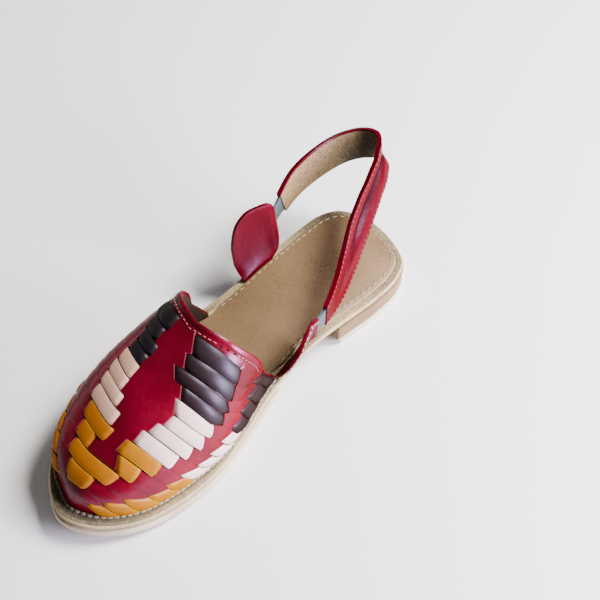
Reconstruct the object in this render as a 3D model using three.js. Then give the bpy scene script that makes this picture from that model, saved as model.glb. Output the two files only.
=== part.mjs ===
import * as THREE from 'three';

// Woven leather huarache sandal, right shoe, standing empty on its sole.
// X runs to the toe, Y to the medial side, Z up. The origin is the middle of the model's box, on the floor.

// Driving sizes of the sole, in millimetres
const SOLE_LENGTH = 250;
const BALL_WIDTH = 90.5;
const HEEL_WIDTH = 68;
const HEEL_LENGTH = 0.272 * SOLE_LENGTH;
const HEEL_HEIGHT = 14;
const LIFT_THICKNESS = 4;
const BREAST_CHAMFER = 3;
const TREAD_THICKNESS = 5;
const TREAD_START = 0.456 * SOLE_LENGTH;
const SKIVE_LENGTH = 10;
const SKIVE_EDGE = 1.4;
const MIDSOLE_THICKNESS = 4;
const GROOVE_DEPTH = 1.4;
const RIM_SETBACK = 1.2;
const INSOLE_THICKNESS = 1.6;
const INSOLE_MARGIN = 6.2;
const TOE_SPRING = 6.8;
const SPRING_START = 0.72 * SOLE_LENGTH;
const EDGE_ROUNDING = 0.8;

// Driving sizes of the woven upper
const WALL = 2;
const STRIP_RAISE = 1.2;
const STRIP_END = 1.4;
const THROAT_FOLD = 0.6;
const THROAT_FOLD_WIDTH = 3.5;
const THROAT_LIP = 1;
const VAMP_BACK = 0.452 * SOLE_LENGTH;
const THROAT_REACH = 0.126 * SOLE_LENGTH;
const INSTEP_HEIGHT = 57;
const TOE_BOX_HEIGHT = 23;
const TOE_ROUNDING = 18;
const RIM_WIDTH = 7.2;

// Driving sizes of the heel strap, its tabs and elastic
const STRAP_WIDTH = 17.5;
const STRAP_THICKNESS = 2.6;
const STRAP_HEIGHT = 58;
const CREASE_DEPTH = 1.8;
const ELASTIC_WIDTH = 13;
const ELASTIC_THICKNESS = 1.6;
const ELASTIC_LENGTH = 8;
const TAB_THICKNESS = 2.2;
const TAB_HEIGHT = 34;
const TAB_SETBACK = 4.6;
const LATERAL_TAB_FLARE = 9;
const MEDIAL_TAB_FLARE = 6.4;

// Gap between pieces that meet
const GAP = 0.3;

// Half widths of the outsole at shares of its length, as shares of the width at that place
const OUTLINE = [
  { along: 0.03, medial: 0.36, lateral: 0.397 },
  { along: 0.08, medial: 0.471, lateral: 0.493 },
  { along: 0.16, medial: 0.507, lateral: 0.496 },
  { along: 0.27, medial: 0.493, lateral: 0.467 },
  { along: 0.38, medial: 0.459, lateral: 0.427 },
  { along: 0.48, medial: 0.451, lateral: 0.403 },
  { along: 0.58, medial: 0.507, lateral: 0.402 },
  { along: 0.68, medial: 0.586, lateral: 0.409 },
  { along: 0.78, medial: 0.599, lateral: 0.367 },
  { along: 0.87, medial: 0.561, lateral: 0.265 },
  { along: 0.94, medial: 0.464, lateral: 0.105 },
  { along: 0.98, medial: 0.354, lateral: -0.055 },
];
const HEEL_BACK = { along: 0, across: -0.081 };
const TOE_TIP = { along: 1, across: 0.221 };
const WAIST_BLEND = { from: 0.3, to: 0.6 };

// Distance of the upper's foot from the sole's edge, as shares of the rim's width
const RIM = [
  { along: 0.3, medial: 0.76, lateral: 0.83 },
  { along: 0.45, medial: 0.76, lateral: 0.83 },
  { along: 0.6, medial: 0.64, lateral: 0.7 },
  { along: 0.72, medial: 1, lateral: 0.6 },
  { along: 0.85, medial: 1.03, lateral: 0.53 },
  { along: 0.93, medial: 1.06, lateral: 0.47 },
  { along: 1, medial: 1.2, lateral: 1.2 },
];

// Height of the upper's ridge, from the toe box (0) to the instep (1), at shares of the upper's length
const RIDGE = [
  { along: 0, rise: 1.19 },
  { along: 0.245, rise: 1 },
  { along: 0.41, rise: 0.79 },
  { along: 0.605, rise: 0.53 },
  { along: 0.76, rise: 0.25 },
  { along: 0.885, rise: 0 },
  { along: 1, rise: -0.18 },
];

// Shape of the upper's cross sections
const SECTION = { side: 2.55, crown: 2.15, bulge: 0.035, ridge: 0.03 };

// How far the throat's edge reaches toward the toe at shares of the upper's girth, from the rim to the crown
const THROAT = [
  { girth: 0, reach: 0 },
  { girth: 0.06, reach: 0.15 },
  { girth: 0.12, reach: 0.32 },
  { girth: 0.21, reach: 0.4 },
  { girth: 0.33, reach: 0.7 },
  { girth: 0.42, reach: 0.9 },
  { girth: 0.5, reach: 1 },
];

// The lines between the strips of the weave, from the throat to the toe: where each leaves the rim and where
// it crosses the crown, as shares of the upper's length from its back end to the toe, and how much it bows
// back beside the rim
const WEAVE_LINES = [
  { rim: -0.01, crown: 0.314, bow: 1 },
  { rim: 0.045, crown: 0.388, bow: 1 },
  { rim: 0.131, crown: 0.443, bow: 1 },
  { rim: 0.205, crown: 0.49, bow: 1 },
  { rim: 0.28, crown: 0.533, bow: 0.75 },
  { rim: 0.335, crown: 0.592, bow: 0.4 },
  { rim: 0.4, crown: 0.643, bow: 0.15 },
  { rim: 0.471, crown: 0.69, bow: 0 },
  { rim: 0.549, crown: 0.745, bow: 0 },
  { rim: 0.627, crown: 0.8, bow: 0 },
  { rim: 0.714, crown: 0.855, bow: 0 },
  { rim: 0.8, crown: 0.91, bow: 0 },
  { rim: 0.871, crown: 0.965, bow: 0 },
  { rim: 0.933, crown: 0.985, bow: 0 },
];

// Where each strip dives under the leather, as shares of the girth from the medial rim (0) to the lateral one
// (1). The edge row ends at edge, the medial row runs from outer to inner, the lateral row from innerFar to
// outerFar, and the lateral edge row starts at edgeFar. slant sets the medial row's ends askew.
const STRIP_ENDS = [
  { edge: 0.145, outer: 0.25, inner: 0.45, innerFar: 0.55, outerFar: 0.69, edgeFar: 0.85, slant: 0.036 },
  { edge: 0.128, outer: 0.22, inner: 0.435, innerFar: 0.57, outerFar: 0.665, edgeFar: 0.86, slant: 0.034 },
  { edge: 0.107, outer: 0.2, inner: 0.435, innerFar: 0.545, outerFar: 0.655, edgeFar: 0.87, slant: 0.043 },
  { edge: 0.088, outer: 0.177, inner: 0.37, innerFar: 0.55, outerFar: 0.655, edgeFar: 0.875, slant: 0.036 },
  { edge: 0.078, outer: 0.174, inner: 0.35, innerFar: 0.548, outerFar: 0.662, edgeFar: 0.875, slant: 0.036 },
  { edge: 0.067, outer: 0.16, inner: 0.326, innerFar: 0.546, outerFar: 0.668, edgeFar: 0.875, slant: 0.02 },
  { edge: 0.06, outer: 0.161, inner: 0.342, innerFar: 0.518, outerFar: 0.667, edgeFar: 0.87, slant: 0.015 },
  { edge: 0.071, outer: 0.175, inner: 0.361, innerFar: 0.482, outerFar: 0.668, edgeFar: 0.86, slant: 0.012 },
  { edge: 0.079, outer: 0.194, inner: 0.385, innerFar: 0.46, outerFar: 0.65, edgeFar: 0.85, slant: 0.01 },
  { edge: 0.076, outer: 0.221, inner: 0.34, innerFar: 0.508, outerFar: 0.631, edgeFar: 0.81, slant: 0.01 },
  { edge: 0.118, outer: 0.27, inner: 0.4, innerFar: 0.48, outerFar: 0.615, edgeFar: 0.77, crossing: true },
  { edge: 0.145, outer: 0.33, inner: 0.41, innerFar: 0.49, outerFar: 0.57, edgeFar: 0.74, crossing: true },
  { edge: 0.18, outer: 0.33, inner: 0.41, innerFar: 0.49, outerFar: 0.57, edgeFar: 0.7, hidden: true },
];
const SWEEP = 0.6;
const CROWN_ROUNDING = 0.08;
const BOW_DEPTH = 0.14;
const BOW_REACH = 0.2;

// How a strip rises at shares of its width
const STRIP_SHAPE = [
  { share: 0.12, rise: 0.8 },
  { share: 0.5, rise: 1 },
  { share: 0.88, rise: 0.8 },
];

// Middle line of the slack heel strap, from its lateral elastic round the heel to its medial one. along,
// across and up are shares of the sole's length, the heel's width and the strap's height. lean tips the upper
// edge to the medial side, and crease folds the strap along its middle.
const STRAP_PATH = [
  { along: 0.217, across: -0.53, up: 0.705, lean: 0, crease: 0 },
  { along: 0.183, across: -0.57, up: 0.745, lean: -0.1, crease: 0 },
  { along: 0.128, across: -0.615, up: 0.82, lean: -0.26, crease: 0 },
  { along: 0.061, across: -0.61, up: 0.89, lean: -0.4, crease: 0.1 },
  { along: 0, across: -0.56, up: 0.945, lean: -0.5, crease: 0.2 },
  { along: -0.041, across: -0.462, up: 0.98, lean: -0.57, crease: 0.3 },
  { along: -0.053, across: -0.357, up: 1.003, lean: -0.58, crease: 0.5 },
  { along: -0.046, across: -0.266, up: 0.99, lean: -0.5, crease: 0.8 },
  { along: -0.02, across: -0.18, up: 0.95, lean: -0.42, crease: 1 },
  { along: 0.022, across: -0.1, up: 0.877, lean: -0.42, crease: 1 },
  { along: 0.068, across: -0.021, up: 0.79, lean: -0.49, crease: 1 },
  { along: 0.119, across: 0.076, up: 0.71, lean: -0.53, crease: 0.8 },
  { along: 0.18, across: 0.208, up: 0.65, lean: -0.43, crease: 0.5 },
  { along: 0.248, across: 0.345, up: 0.61, lean: -0.23, crease: 0.2 },
  { along: 0.31, across: 0.44, up: 0.593, lean: 0, crease: 0 },
  { along: 0.346, across: 0.476, up: 0.587, lean: 0.06, crease: 0 },
];

// Lower and upper edge of each side tab, from its front to the elastic. foot and head are shares of the
// sole's length, out is a share of the tab's flare beyond the sole's edge, and rises are shares of the tab's
// height.
const LATERAL_TAB = [
  { foot: 0.345, footRise: 0, head: 0.35, headRise: 0.28, out: 0.25 },
  { foot: 0.33, footRise: 0, head: 0.34, headRise: 0.62, out: 0.7 },
  { foot: 0.308, footRise: 0, head: 0.318, headRise: 0.86, out: 1 },
  { foot: 0.282, footRise: 0, head: 0.288, headRise: 0.98, out: 0.98 },
  { foot: 0.256, footRise: 0, head: 0.256, headRise: 1, out: 0.75 },
  { foot: 0.234, footRise: 0.14, head: 0.232, headRise: 0.98, out: 0.5 },
];
const MEDIAL_TAB = [
  { foot: 0.4475, footRise: 0, head: 0.456, headRise: 0.32, out: 0 },
  { foot: 0.435, footRise: 0, head: 0.449, headRise: 0.62, out: 0.7 },
  { foot: 0.415, footRise: 0, head: 0.425, headRise: 0.84, out: 1 },
  { foot: 0.39, footRise: 0, head: 0.4, headRise: 0.93, out: 0.75 },
  { foot: 0.368, footRise: 0.1, head: 0.374, headRise: 0.93, out: 0.4 },
];

// Side profiles of the sole's layers: rise is a share of the layer's thickness, in is the distance inside its
// edge, and cut is how far a straight end stands back at that height
const TREAD_SIDE = [
  { rise: 0, in: EDGE_ROUNDING, cut: 0 },
  { rise: 0.2, in: 0, cut: 0 },
  { rise: 0.8, in: 0, cut: 0 },
  { rise: 1, in: EDGE_ROUNDING, cut: 0 },
];
const LIFT_SIDE = [
  { rise: 0, in: EDGE_ROUNDING, cut: BREAST_CHAMFER },
  { rise: 0.25, in: 0, cut: BREAST_CHAMFER * 0.75 },
  { rise: 1, in: 0, cut: 0 },
];
const BLOCK_SIDE = [
  { rise: 0, in: 0.4, cut: 0 },
  { rise: 0.3, in: 0.9, cut: 0.3 },
  { rise: 0.75, in: 0.9, cut: 0.3 },
  { rise: 1, in: 0.5, cut: 0 },
];
const MIDSOLE_SIDE = [
  { rise: 0, in: RIM_SETBACK + GROOVE_DEPTH, cut: 0 },
  { rise: 0.22, in: RIM_SETBACK + GROOVE_DEPTH, cut: 0 },
  { rise: 0.36, in: RIM_SETBACK, cut: 0 },
  { rise: 0.82, in: RIM_SETBACK, cut: 0 },
  { rise: 1, in: RIM_SETBACK + EDGE_ROUNDING, cut: 0 },
];
const INSOLE_SIDE = [
  { rise: 0, in: 0, cut: 0 },
  { rise: 0.6, in: 0, cut: 0 },
  { rise: 1, in: 0.4, cut: 0 },
];

// Fineness of the curves
const EDGE_STEPS = 480;
const FULL_STATIONS = 52;
const PART_STATIONS = 30;
const END_SHARE = 0.0004;
const ARC_STEPS = 96;
const STRAP_STEPS = 72;
const TAB_STEPS = 14;

const leatherRed = { color: '#9c0f2e', roughness: 0.38, metalness: 0 };
const soleTan = { color: '#a57d55', roughness: 0.75, metalness: 0 };
const rimTan = { color: '#b39a7c', roughness: 0.7, metalness: 0 };
const heelTan = { color: '#a98358', roughness: 0.7, metalness: 0 };
const footbedTan = { color: '#8b7150', roughness: 0.6, metalness: 0 };
const elasticDark = { color: '#3d4042', roughness: 0.85, metalness: 0 };

const { clamp, lerp, smoothstep } = THREE.MathUtils;

// Reads a column of a table between its rows, with a smooth curve through them
function read(rows, key, column, at) {
  const last = rows.length - 1;
  const place = clamp(at, rows[0][key], rows[last][key]);
  let row = 0;
  while (row < last - 1 && rows[row + 1][key] < place) row += 1;
  const slope = (index) => {
    const back = rows[Math.max(index - 1, 0)];
    const ahead = rows[Math.min(index + 1, last)];
    return (ahead[column] - back[column]) / (ahead[key] - back[key]);
  };
  const span = rows[row + 1][key] - rows[row][key];
  const t = (place - rows[row][key]) / span;
  const start = rows[row][column];
  const end = rows[row + 1][column];
  return start * (1 + 2 * t) * (1 - t) ** 2 + slope(row) * span * t * (1 - t) ** 2
    + end * t * t * (3 - 2 * t) + slope(row + 1) * span * t * t * (t - 1);
}

// The outsole's edge as a closed smooth curve, with the direction inward at each point
function soleEdge() {
  const widthAt = (along) => {
    return lerp(HEEL_WIDTH, BALL_WIDTH, smoothstep(along, WAIST_BLEND.from, WAIST_BLEND.to));
  };
  const point = (along, across) => {
    return new THREE.Vector3(along * SOLE_LENGTH, across * widthAt(along), 0);
  };
  const medial = OUTLINE.map((row) => point(row.along, row.medial));
  const lateral = OUTLINE.map((row) => point(row.along, -row.lateral)).reverse();
  const back = point(HEEL_BACK.along, HEEL_BACK.across);
  const tip = point(TOE_TIP.along, TOE_TIP.across);
  const curve = new THREE.CatmullRomCurve3([back, ...medial, tip, ...lateral], true, 'centripetal');
  const tipShare = (medial.length + 1) / (2 * medial.length + 2);
  const edge = [];
  for (let step = 0; step < EDGE_STEPS; step += 1) {
    const share = step / EDGE_STEPS;
    const place = curve.getPoint(share);
    const ahead = curve.getTangent(share);
    const inward = new THREE.Vector3(ahead.y, -ahead.x, 0);
    edge.push({ place, inward, side: share < tipShare ? 'medial' : 'lateral' });
  }
  return edge;
}
const SOLE_EDGE = soleEdge();

// A line inside the sole's edge. inside(along, side) gives the distance, and across() reads the line.
function lineInside(inside) {
  const points = SOLE_EDGE.map(({ place, inward, side }) => {
    return place.clone().addScaledVector(inward, inside(place.x / SOLE_LENGTH, side));
  });
  const xs = points.map((point) => point.x);
  const back = xs.indexOf(Math.min(...xs));
  const tip = xs.indexOf(Math.max(...xs));
  const walk = (from, to) => {
    const run = [];
    for (let index = from; index !== to; index = (index + 1) % points.length) run.push(points[index]);
    run.push(points[to]);
    return run;
  };
  return { medial: walk(back, tip), lateral: walk(tip, back).reverse(), back: xs[back], tip: points[tip] };
}

function across(line, side, x) {
  const points = line[side];
  let low = 0;
  let high = points.length - 1;
  while (high - low > 1) {
    const middle = (low + high) >> 1;
    if (points[middle].x <= x) low = middle;
    else high = middle;
  }
  const share = clamp((x - points[low].x) / (points[high].x - points[low].x), 0, 1);
  return lerp(points[low].y, points[high].y, share);
}

// Heights of the sole's layers along its length
function springAt(x) {
  return TOE_SPRING * (Math.max(x - SPRING_START, 0) / (SOLE_LENGTH - SPRING_START)) ** 2;
}

function seatAt(x) {
  const forward = smoothstep(x, HEEL_LENGTH, TREAD_START + SKIVE_LENGTH);
  return springAt(x) + lerp(HEEL_HEIGHT, TREAD_THICKNESS, forward);
}

function treadBottom(x) {
  const full = clamp((x - TREAD_START) / SKIVE_LENGTH, 0, 1);
  return seatAt(x) - lerp(SKIVE_EDGE, TREAD_THICKNESS, full);
}

function midsoleBottom(x) {
  return seatAt(x) + GAP;
}

function rimTop(x) {
  return midsoleBottom(x) + MIDSOLE_THICKNESS;
}

function upperFoot(x) {
  return rimTop(x) + GAP;
}

// A closed mesh from a list of corners and a list of triangles
function solid(corners, faces) {
  const geometry = new THREE.BufferGeometry();
  const numbers = corners.flatMap((corner) => [corner.x, corner.y, corner.z]);
  geometry.setAttribute('position', new THREE.Float32BufferAttribute(numbers, 3));
  geometry.setIndex(faces.flat());
  geometry.computeVertexNormals();
  return geometry;
}

// A layer of the sole between two height curves, with a side profile, whole or with a straight cut at one end
function layer({ bottom, top, profile, margin, from, to }) {
  const corners = [];
  const faces = [];
  const count = from === undefined && to === undefined ? FULL_STATIONS : PART_STATIONS;
  for (const level of profile) {
    const line = lineInside((along, side) => level.in + (margin ? margin(along, side) : 0));
    const start = from === undefined ? line.back : from + level.cut;
    const end = to === undefined ? line.tip.x : to - level.cut;
    const stations = Array.from({ length: count }, (_, index) => {
      const share = index / (count - 1);
      const inside = (value) => lerp(END_SHARE, 1 - END_SHARE, value);
      if (from !== undefined) return lerp(start, end, Math.sin(share * Math.PI / 2) * (1 - END_SHARE));
      if (to !== undefined) return lerp(end, start, Math.cos(share * Math.PI / 2) * (1 - END_SHARE));
      return lerp(start, end, inside((1 - Math.cos(share * Math.PI)) / 2));
    });
    const corner = (side) => (x) => {
      return new THREE.Vector3(x, across(line, side, x), lerp(bottom(x), top(x), level.rise));
    };
    corners.push(...stations.map(corner('medial')), ...stations.map(corner('lateral')).reverse());
  }
  const round = 2 * count;
  for (let ring = 0; ring < profile.length - 1; ring += 1) {
    for (let index = 0; index < round; index += 1) {
      const low = ring * round + index;
      const lowNext = ring * round + (index + 1) % round;
      faces.push([low, low + round, lowNext + round], [low, lowNext + round, lowNext]);
    }
  }
  const lid = (profile.length - 1) * round;
  for (let index = 0; index < count - 1; index += 1) {
    const medial = [index, index + 1];
    const lateral = [round - 1 - index, round - 2 - index];
    faces.push([medial[0], medial[1], lateral[1]], [medial[0], lateral[1], lateral[0]]);
    faces.push([lid + medial[0], lid + lateral[1], lid + medial[1]]);
    faces.push([lid + medial[0], lid + lateral[0], lid + lateral[1]]);
  }
  return solid(corners, faces);
}

// Two facing grids of points closed all round into one wall. outer and inner are rows of points.
function wall(outer, inner) {
  const lines = outer.length;
  const rows = outer[0].length;
  const corners = [...outer.flat(), ...inner.flat()];
  const faces = [];
  const at = (line, row) => line * rows + row;
  const under = (index) => index + lines * rows;
  const quad = (a, b, c, d) => faces.push([a, b, c], [a, c, d]);
  for (let line = 0; line < lines - 1; line += 1) {
    for (let row = 0; row < rows - 1; row += 1) {
      const [a, b, c, d] = [at(line, row), at(line, row + 1), at(line + 1, row + 1), at(line + 1, row)];
      quad(a, b, c, d);
      quad(under(d), under(c), under(b), under(a));
    }
    const [near, nearNext] = [at(line, 0), at(line + 1, 0)];
    quad(nearNext, under(nearNext), under(near), near);
    const [far, farNext] = [at(line, rows - 1), at(line + 1, rows - 1)];
    quad(far, under(far), under(farNext), farNext);
  }
  for (let row = 0; row < rows - 1; row += 1) {
    const [first, firstNext] = [at(0, row), at(0, row + 1)];
    quad(first, under(first), under(firstNext), firstNext);
    const [end, endNext] = [at(lines - 1, row), at(lines - 1, row + 1)];
    quad(endNext, under(endNext), under(end), end);
  }
  return solid(corners, faces);
}

// The upper's foot line on the rim
const UPPER_LINE = lineInside((along, side) => RIM_WIDTH * read(RIM, 'along', side, along));
const TOE_END = UPPER_LINE.tip.x;

// A cross section of the upper at x: a point at a turn from the medial rim (0) to the lateral rim (pi)
function sectionPoint(x, turn) {
  const medial = across(UPPER_LINE, 'medial', x);
  const lateral = across(UPPER_LINE, 'lateral', x);
  const half = (medial - lateral) / 2;
  const along = (x - VAMP_BACK) / (TOE_END - VAMP_BACK);
  const toToe = clamp((TOE_END - x) / TOE_ROUNDING, 0, 1);
  const rounding = (1 - (1 - toToe) ** 2.3) ** (1 / 2.3);
  const height = lerp(TOE_BOX_HEIGHT, INSTEP_HEIGHT, read(RIDGE, 'along', 'rise', along)) * rounding;
  const sideways = Math.cos(turn);
  const out = Math.sign(sideways) * Math.abs(sideways) ** (2 / SECTION.side);
  const up = Math.abs(Math.sin(turn)) ** (2 / SECTION.crown);
  const bulge = 1 + SECTION.bulge * Math.sin(2 * turn) ** 2;
  const y = (medial + lateral) / 2 + half * (out * bulge + SECTION.ridge * up ** 1.5);
  return new THREE.Vector3(x, y, upperFoot(x) + height * up);
}

// The turn at a share of the section's girth
function turnAt(x, girth) {
  const reach = [0];
  let back = sectionPoint(x, 0);
  for (let step = 1; step <= ARC_STEPS; step += 1) {
    const next = sectionPoint(x, Math.PI * step / ARC_STEPS);
    reach.push(reach[step - 1] + next.distanceTo(back));
    back = next;
  }
  const wanted = girth * reach[ARC_STEPS];
  let step = 0;
  while (step < ARC_STEPS - 1 && reach[step + 1] < wanted) step += 1;
  return Math.PI * (step + (wanted - reach[step]) / (reach[step + 1] - reach[step])) / ARC_STEPS;
}

// A point of the upper's leather at x and a share of the girth, and the direction out of it
function upperPoint(x, girth) {
  const turn = turnAt(x, girth);
  const place = sectionPoint(x, turn);
  const step = Math.min(0.4, (TOE_END - x) / 2);
  const ahead = sectionPoint(x + step, turn).sub(sectionPoint(x - step, turn));
  const turnStep = 0.02;
  const around = sectionPoint(x, Math.min(turn + turnStep, Math.PI));
  around.sub(sectionPoint(x, Math.max(turn - turnStep, 0)));
  const out = new THREE.Vector3().crossVectors(around, ahead).normalize();
  return { place, out };
}

// How far a line of the weave has swept from the rim to the crown at a share of the girth
function sweepAt(girth, bow) {
  const fromCrown = Math.hypot(0.5 - Math.min(girth, 1 - girth), CROWN_ROUNDING);
  const side = Math.max(0, 0.5 - fromCrown);
  const bowed = Math.sin(Math.PI * Math.min(side, BOW_REACH) / BOW_REACH);
  return (2 * side) ** SWEEP - bow * BOW_DEPTH * bowed;
}

// A line of the weave, kept off the throat's edge
function weaveLine({ rim, crown, bow }) {
  return (girth) => {
    const x = lerp(VAMP_BACK, TOE_END, lerp(rim, crown, sweepAt(girth, bow)));
    return Math.max(x, throatLine(girth) + THROAT_LIP);
  };
}

function throatLine(girth) {
  return VAMP_BACK + THROAT_REACH * read(THROAT, 'girth', 'reach', Math.min(girth, 1 - girth));
}

// Places on the girth of a strip's ends, at a share of its width, with whether the strip lies on top there
function stripRows(strip, acrossStrip) {
  const end = STRIP_END / 100;
  const between = (a, b, share) => lerp(a, b, share);
  const over = !strip.hidden;
  const middle = Boolean(strip.crossing);
  const { edge, innerFar, outerFar, edgeFar, slant = 0 } = strip;
  const outer = strip.outer + slant * (0.5 - acrossStrip);
  const inner = strip.inner + slant * (0.5 - acrossStrip);
  return [
    { girth: 0, over: true },
    { girth: edge * 0.5, over: true },
    { girth: edge, over: true },
    { girth: edge + end, over: false },
    { girth: between(edge, outer, 0.55), over: false },
    { girth: outer - end, over: false },
    { girth: outer, over },
    { girth: between(outer, inner, 0.33), over },
    { girth: between(outer, inner, 0.67), over },
    { girth: inner, over },
    { girth: inner + end, over: middle },
    { girth: between(inner, innerFar, 0.5), over: middle },
    { girth: innerFar - end, over: middle },
    { girth: innerFar, over },
    { girth: between(innerFar, outerFar, 0.5), over },
    { girth: outerFar, over },
    { girth: outerFar + end, over: false },
    { girth: between(outerFar, edgeFar, 0.33), over: false },
    { girth: between(outerFar, edgeFar, 0.67), over: false },
    { girth: edgeFar - end, over: false },
    { girth: edgeFar, over: true },
    { girth: between(edgeFar, 1, 0.5), over: true },
    { girth: 1, over: true },
  ];
}

// The lines of the upper from the throat to the toe, each with its place, its rows and what is raised on it
function upperLines() {
  const lines = [];
  const bounds = WEAVE_LINES.map(weaveLine);
  const plain = (rows) => rows.map(({ girth }) => ({ girth, raise: 0 }));
  const firstRows = stripRows(STRIP_ENDS[0], 0);
  const lip = (girth) => Math.min(THROAT_FOLD_WIDTH, 0.4 * (bounds[0](girth) - throatLine(girth)));
  const raised = (raise) => firstRows.map(({ girth }) => ({ girth, raise }));
  lines.push({ x: throatLine, rows: raised(THROAT_FOLD) });
  lines.push({ x: (girth) => throatLine(girth) + lip(girth), rows: raised(THROAT_FOLD) });
  lines.push({ x: (girth) => throatLine(girth) + 1.2 * lip(girth), rows: raised(0) });
  STRIP_ENDS.forEach((strip, index) => {
    const back = stripRows(strip, 0);
    const before = index > 0 ? stripRows(STRIP_ENDS[index - 1], 1) : back;
    const shared = back.map(({ girth }, row) => ({ girth: (girth + before[row].girth) / 2, raise: 0 }));
    lines.push({ x: bounds[index], rows: shared });
    for (const { share, rise } of STRIP_SHAPE) {
      const rows = stripRows(strip, share);
      lines.push({
        x: (girth) => lerp(bounds[index](girth), bounds[index + 1](girth), share),
        rows: rows.map(({ girth, over }) => ({ girth, raise: over ? rise * STRIP_RAISE : 0 })),
      });
    }
  });
  const lastRows = plain(stripRows(STRIP_ENDS[STRIP_ENDS.length - 1], 1));
  const last = bounds[STRIP_ENDS.length];
  for (const share of [0, 0.3, 0.55, 0.75, 0.9, 0.98]) {
    lines.push({ x: (girth) => lerp(last(girth), TOE_END, share), rows: lastRows });
  }
  return lines;
}

function wovenUpper() {
  const lines = upperLines();
  const outer = [];
  const inner = [];
  for (const { x, rows } of lines) {
    const top = [];
    const under = [];
    rows.forEach(({ girth, raise }, row) => {
      const { place, out } = upperPoint(x(girth), girth);
      const below = place.clone().addScaledVector(out, -WALL);
      if (row === 0 || row === rows.length - 1) {
        out.setZ(0).normalize();
        below.copy(place).addScaledVector(out, -WALL);
        below.setZ(upperFoot(below.x));
      }
      top.push(place.addScaledVector(out, raise));
      under.push(below);
    });
    outer.push(top);
    inner.push(under);
  }
  const foot = upperFoot(TOE_END);
  const tip = new THREE.Vector3(TOE_END, UPPER_LINE.tip.y, foot);
  const tipInner = new THREE.Vector3(TOE_END - WALL, UPPER_LINE.tip.y, foot);
  outer.push(outer[0].map(() => tip.clone()));
  inner.push(inner[0].map(() => tipInner.clone()));
  return closeTip(wall(outer, inner));
}

// Joins corners that lie in one place and drops the triangles that this leaves without an area
function closeTip(geometry) {
  const position = geometry.getAttribute('position');
  const seen = new Map();
  const corners = [];
  const remap = [];
  for (let index = 0; index < position.count; index += 1) {
    const corner = new THREE.Vector3().fromBufferAttribute(position, index);
    const key = corner.toArray().map((value) => value.toFixed(4)).join(' ');
    if (!seen.has(key)) {
      seen.set(key, corners.length);
      corners.push(corner);
    }
    remap.push(seen.get(key));
  }
  const faces = [];
  const index = geometry.getIndex().array;
  for (let start = 0; start < index.length; start += 3) {
    const face = [remap[index[start]], remap[index[start + 1]], remap[index[start + 2]]];
    if (new Set(face).size === 3) faces.push(face);
  }
  return solid(corners, faces);
}

// The strap's middle line as a curve, with its lean and crease read at the same share
const STRAP_CURVE = new THREE.CatmullRomCurve3(STRAP_PATH.map((row) => new THREE.Vector3(
  row.along * SOLE_LENGTH,
  row.across * HEEL_WIDTH,
  row.up * STRAP_HEIGHT,
)), false, 'centripetal');
const STRAP_ROWS = STRAP_PATH.map((row, index) => ({ share: index / (STRAP_PATH.length - 1), ...row }));
const ELASTIC_SHARE = ELASTIC_LENGTH / STRAP_CURVE.getLength();
const GAP_SHARE = GAP / STRAP_CURVE.getLength();

// A cross section of the strap: its middle, the direction to its upper edge and the direction out of it
function strapSection(length) {
  const share = STRAP_CURVE.getUtoTmapping(length);
  const middle = STRAP_CURVE.getPoint(share);
  const ahead = STRAP_CURVE.getTangent(share);
  const lean = read(STRAP_ROWS, 'share', 'lean', share);
  const upward = new THREE.Vector3(0, lean, Math.sqrt(1 - lean * lean));
  upward.addScaledVector(ahead, -upward.dot(ahead)).normalize();
  const out = new THREE.Vector3().crossVectors(upward, ahead);
  return { middle, upward, out, crease: read(STRAP_ROWS, 'share', 'crease', share) };
}

// A length of band along the strap's line
function band({ from, to, width, thickness, crease }) {
  const outer = [];
  const inner = [];
  const steps = Math.max(3, Math.round(STRAP_STEPS * (to - from)));
  const shares = [-0.5, -0.3, -0.1, 0.1, 0.3, 0.5];
  for (let step = 0; step <= steps; step += 1) {
    const section = strapSection(lerp(from, to, step / steps));
    const line = shares.map((share) => {
      const fold = crease * section.crease * (1 - smoothstep(Math.abs(share), 0.05, 0.5));
      const place = section.middle.clone().addScaledVector(section.upward, share * width);
      return place.addScaledVector(section.out, -fold);
    });
    outer.push(line.map((place) => place.clone().addScaledVector(section.out, thickness / 2)));
    inner.push(line.map((place) => place.clone().addScaledVector(section.out, -thickness / 2)));
  }
  return wall(outer, inner);
}

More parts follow.
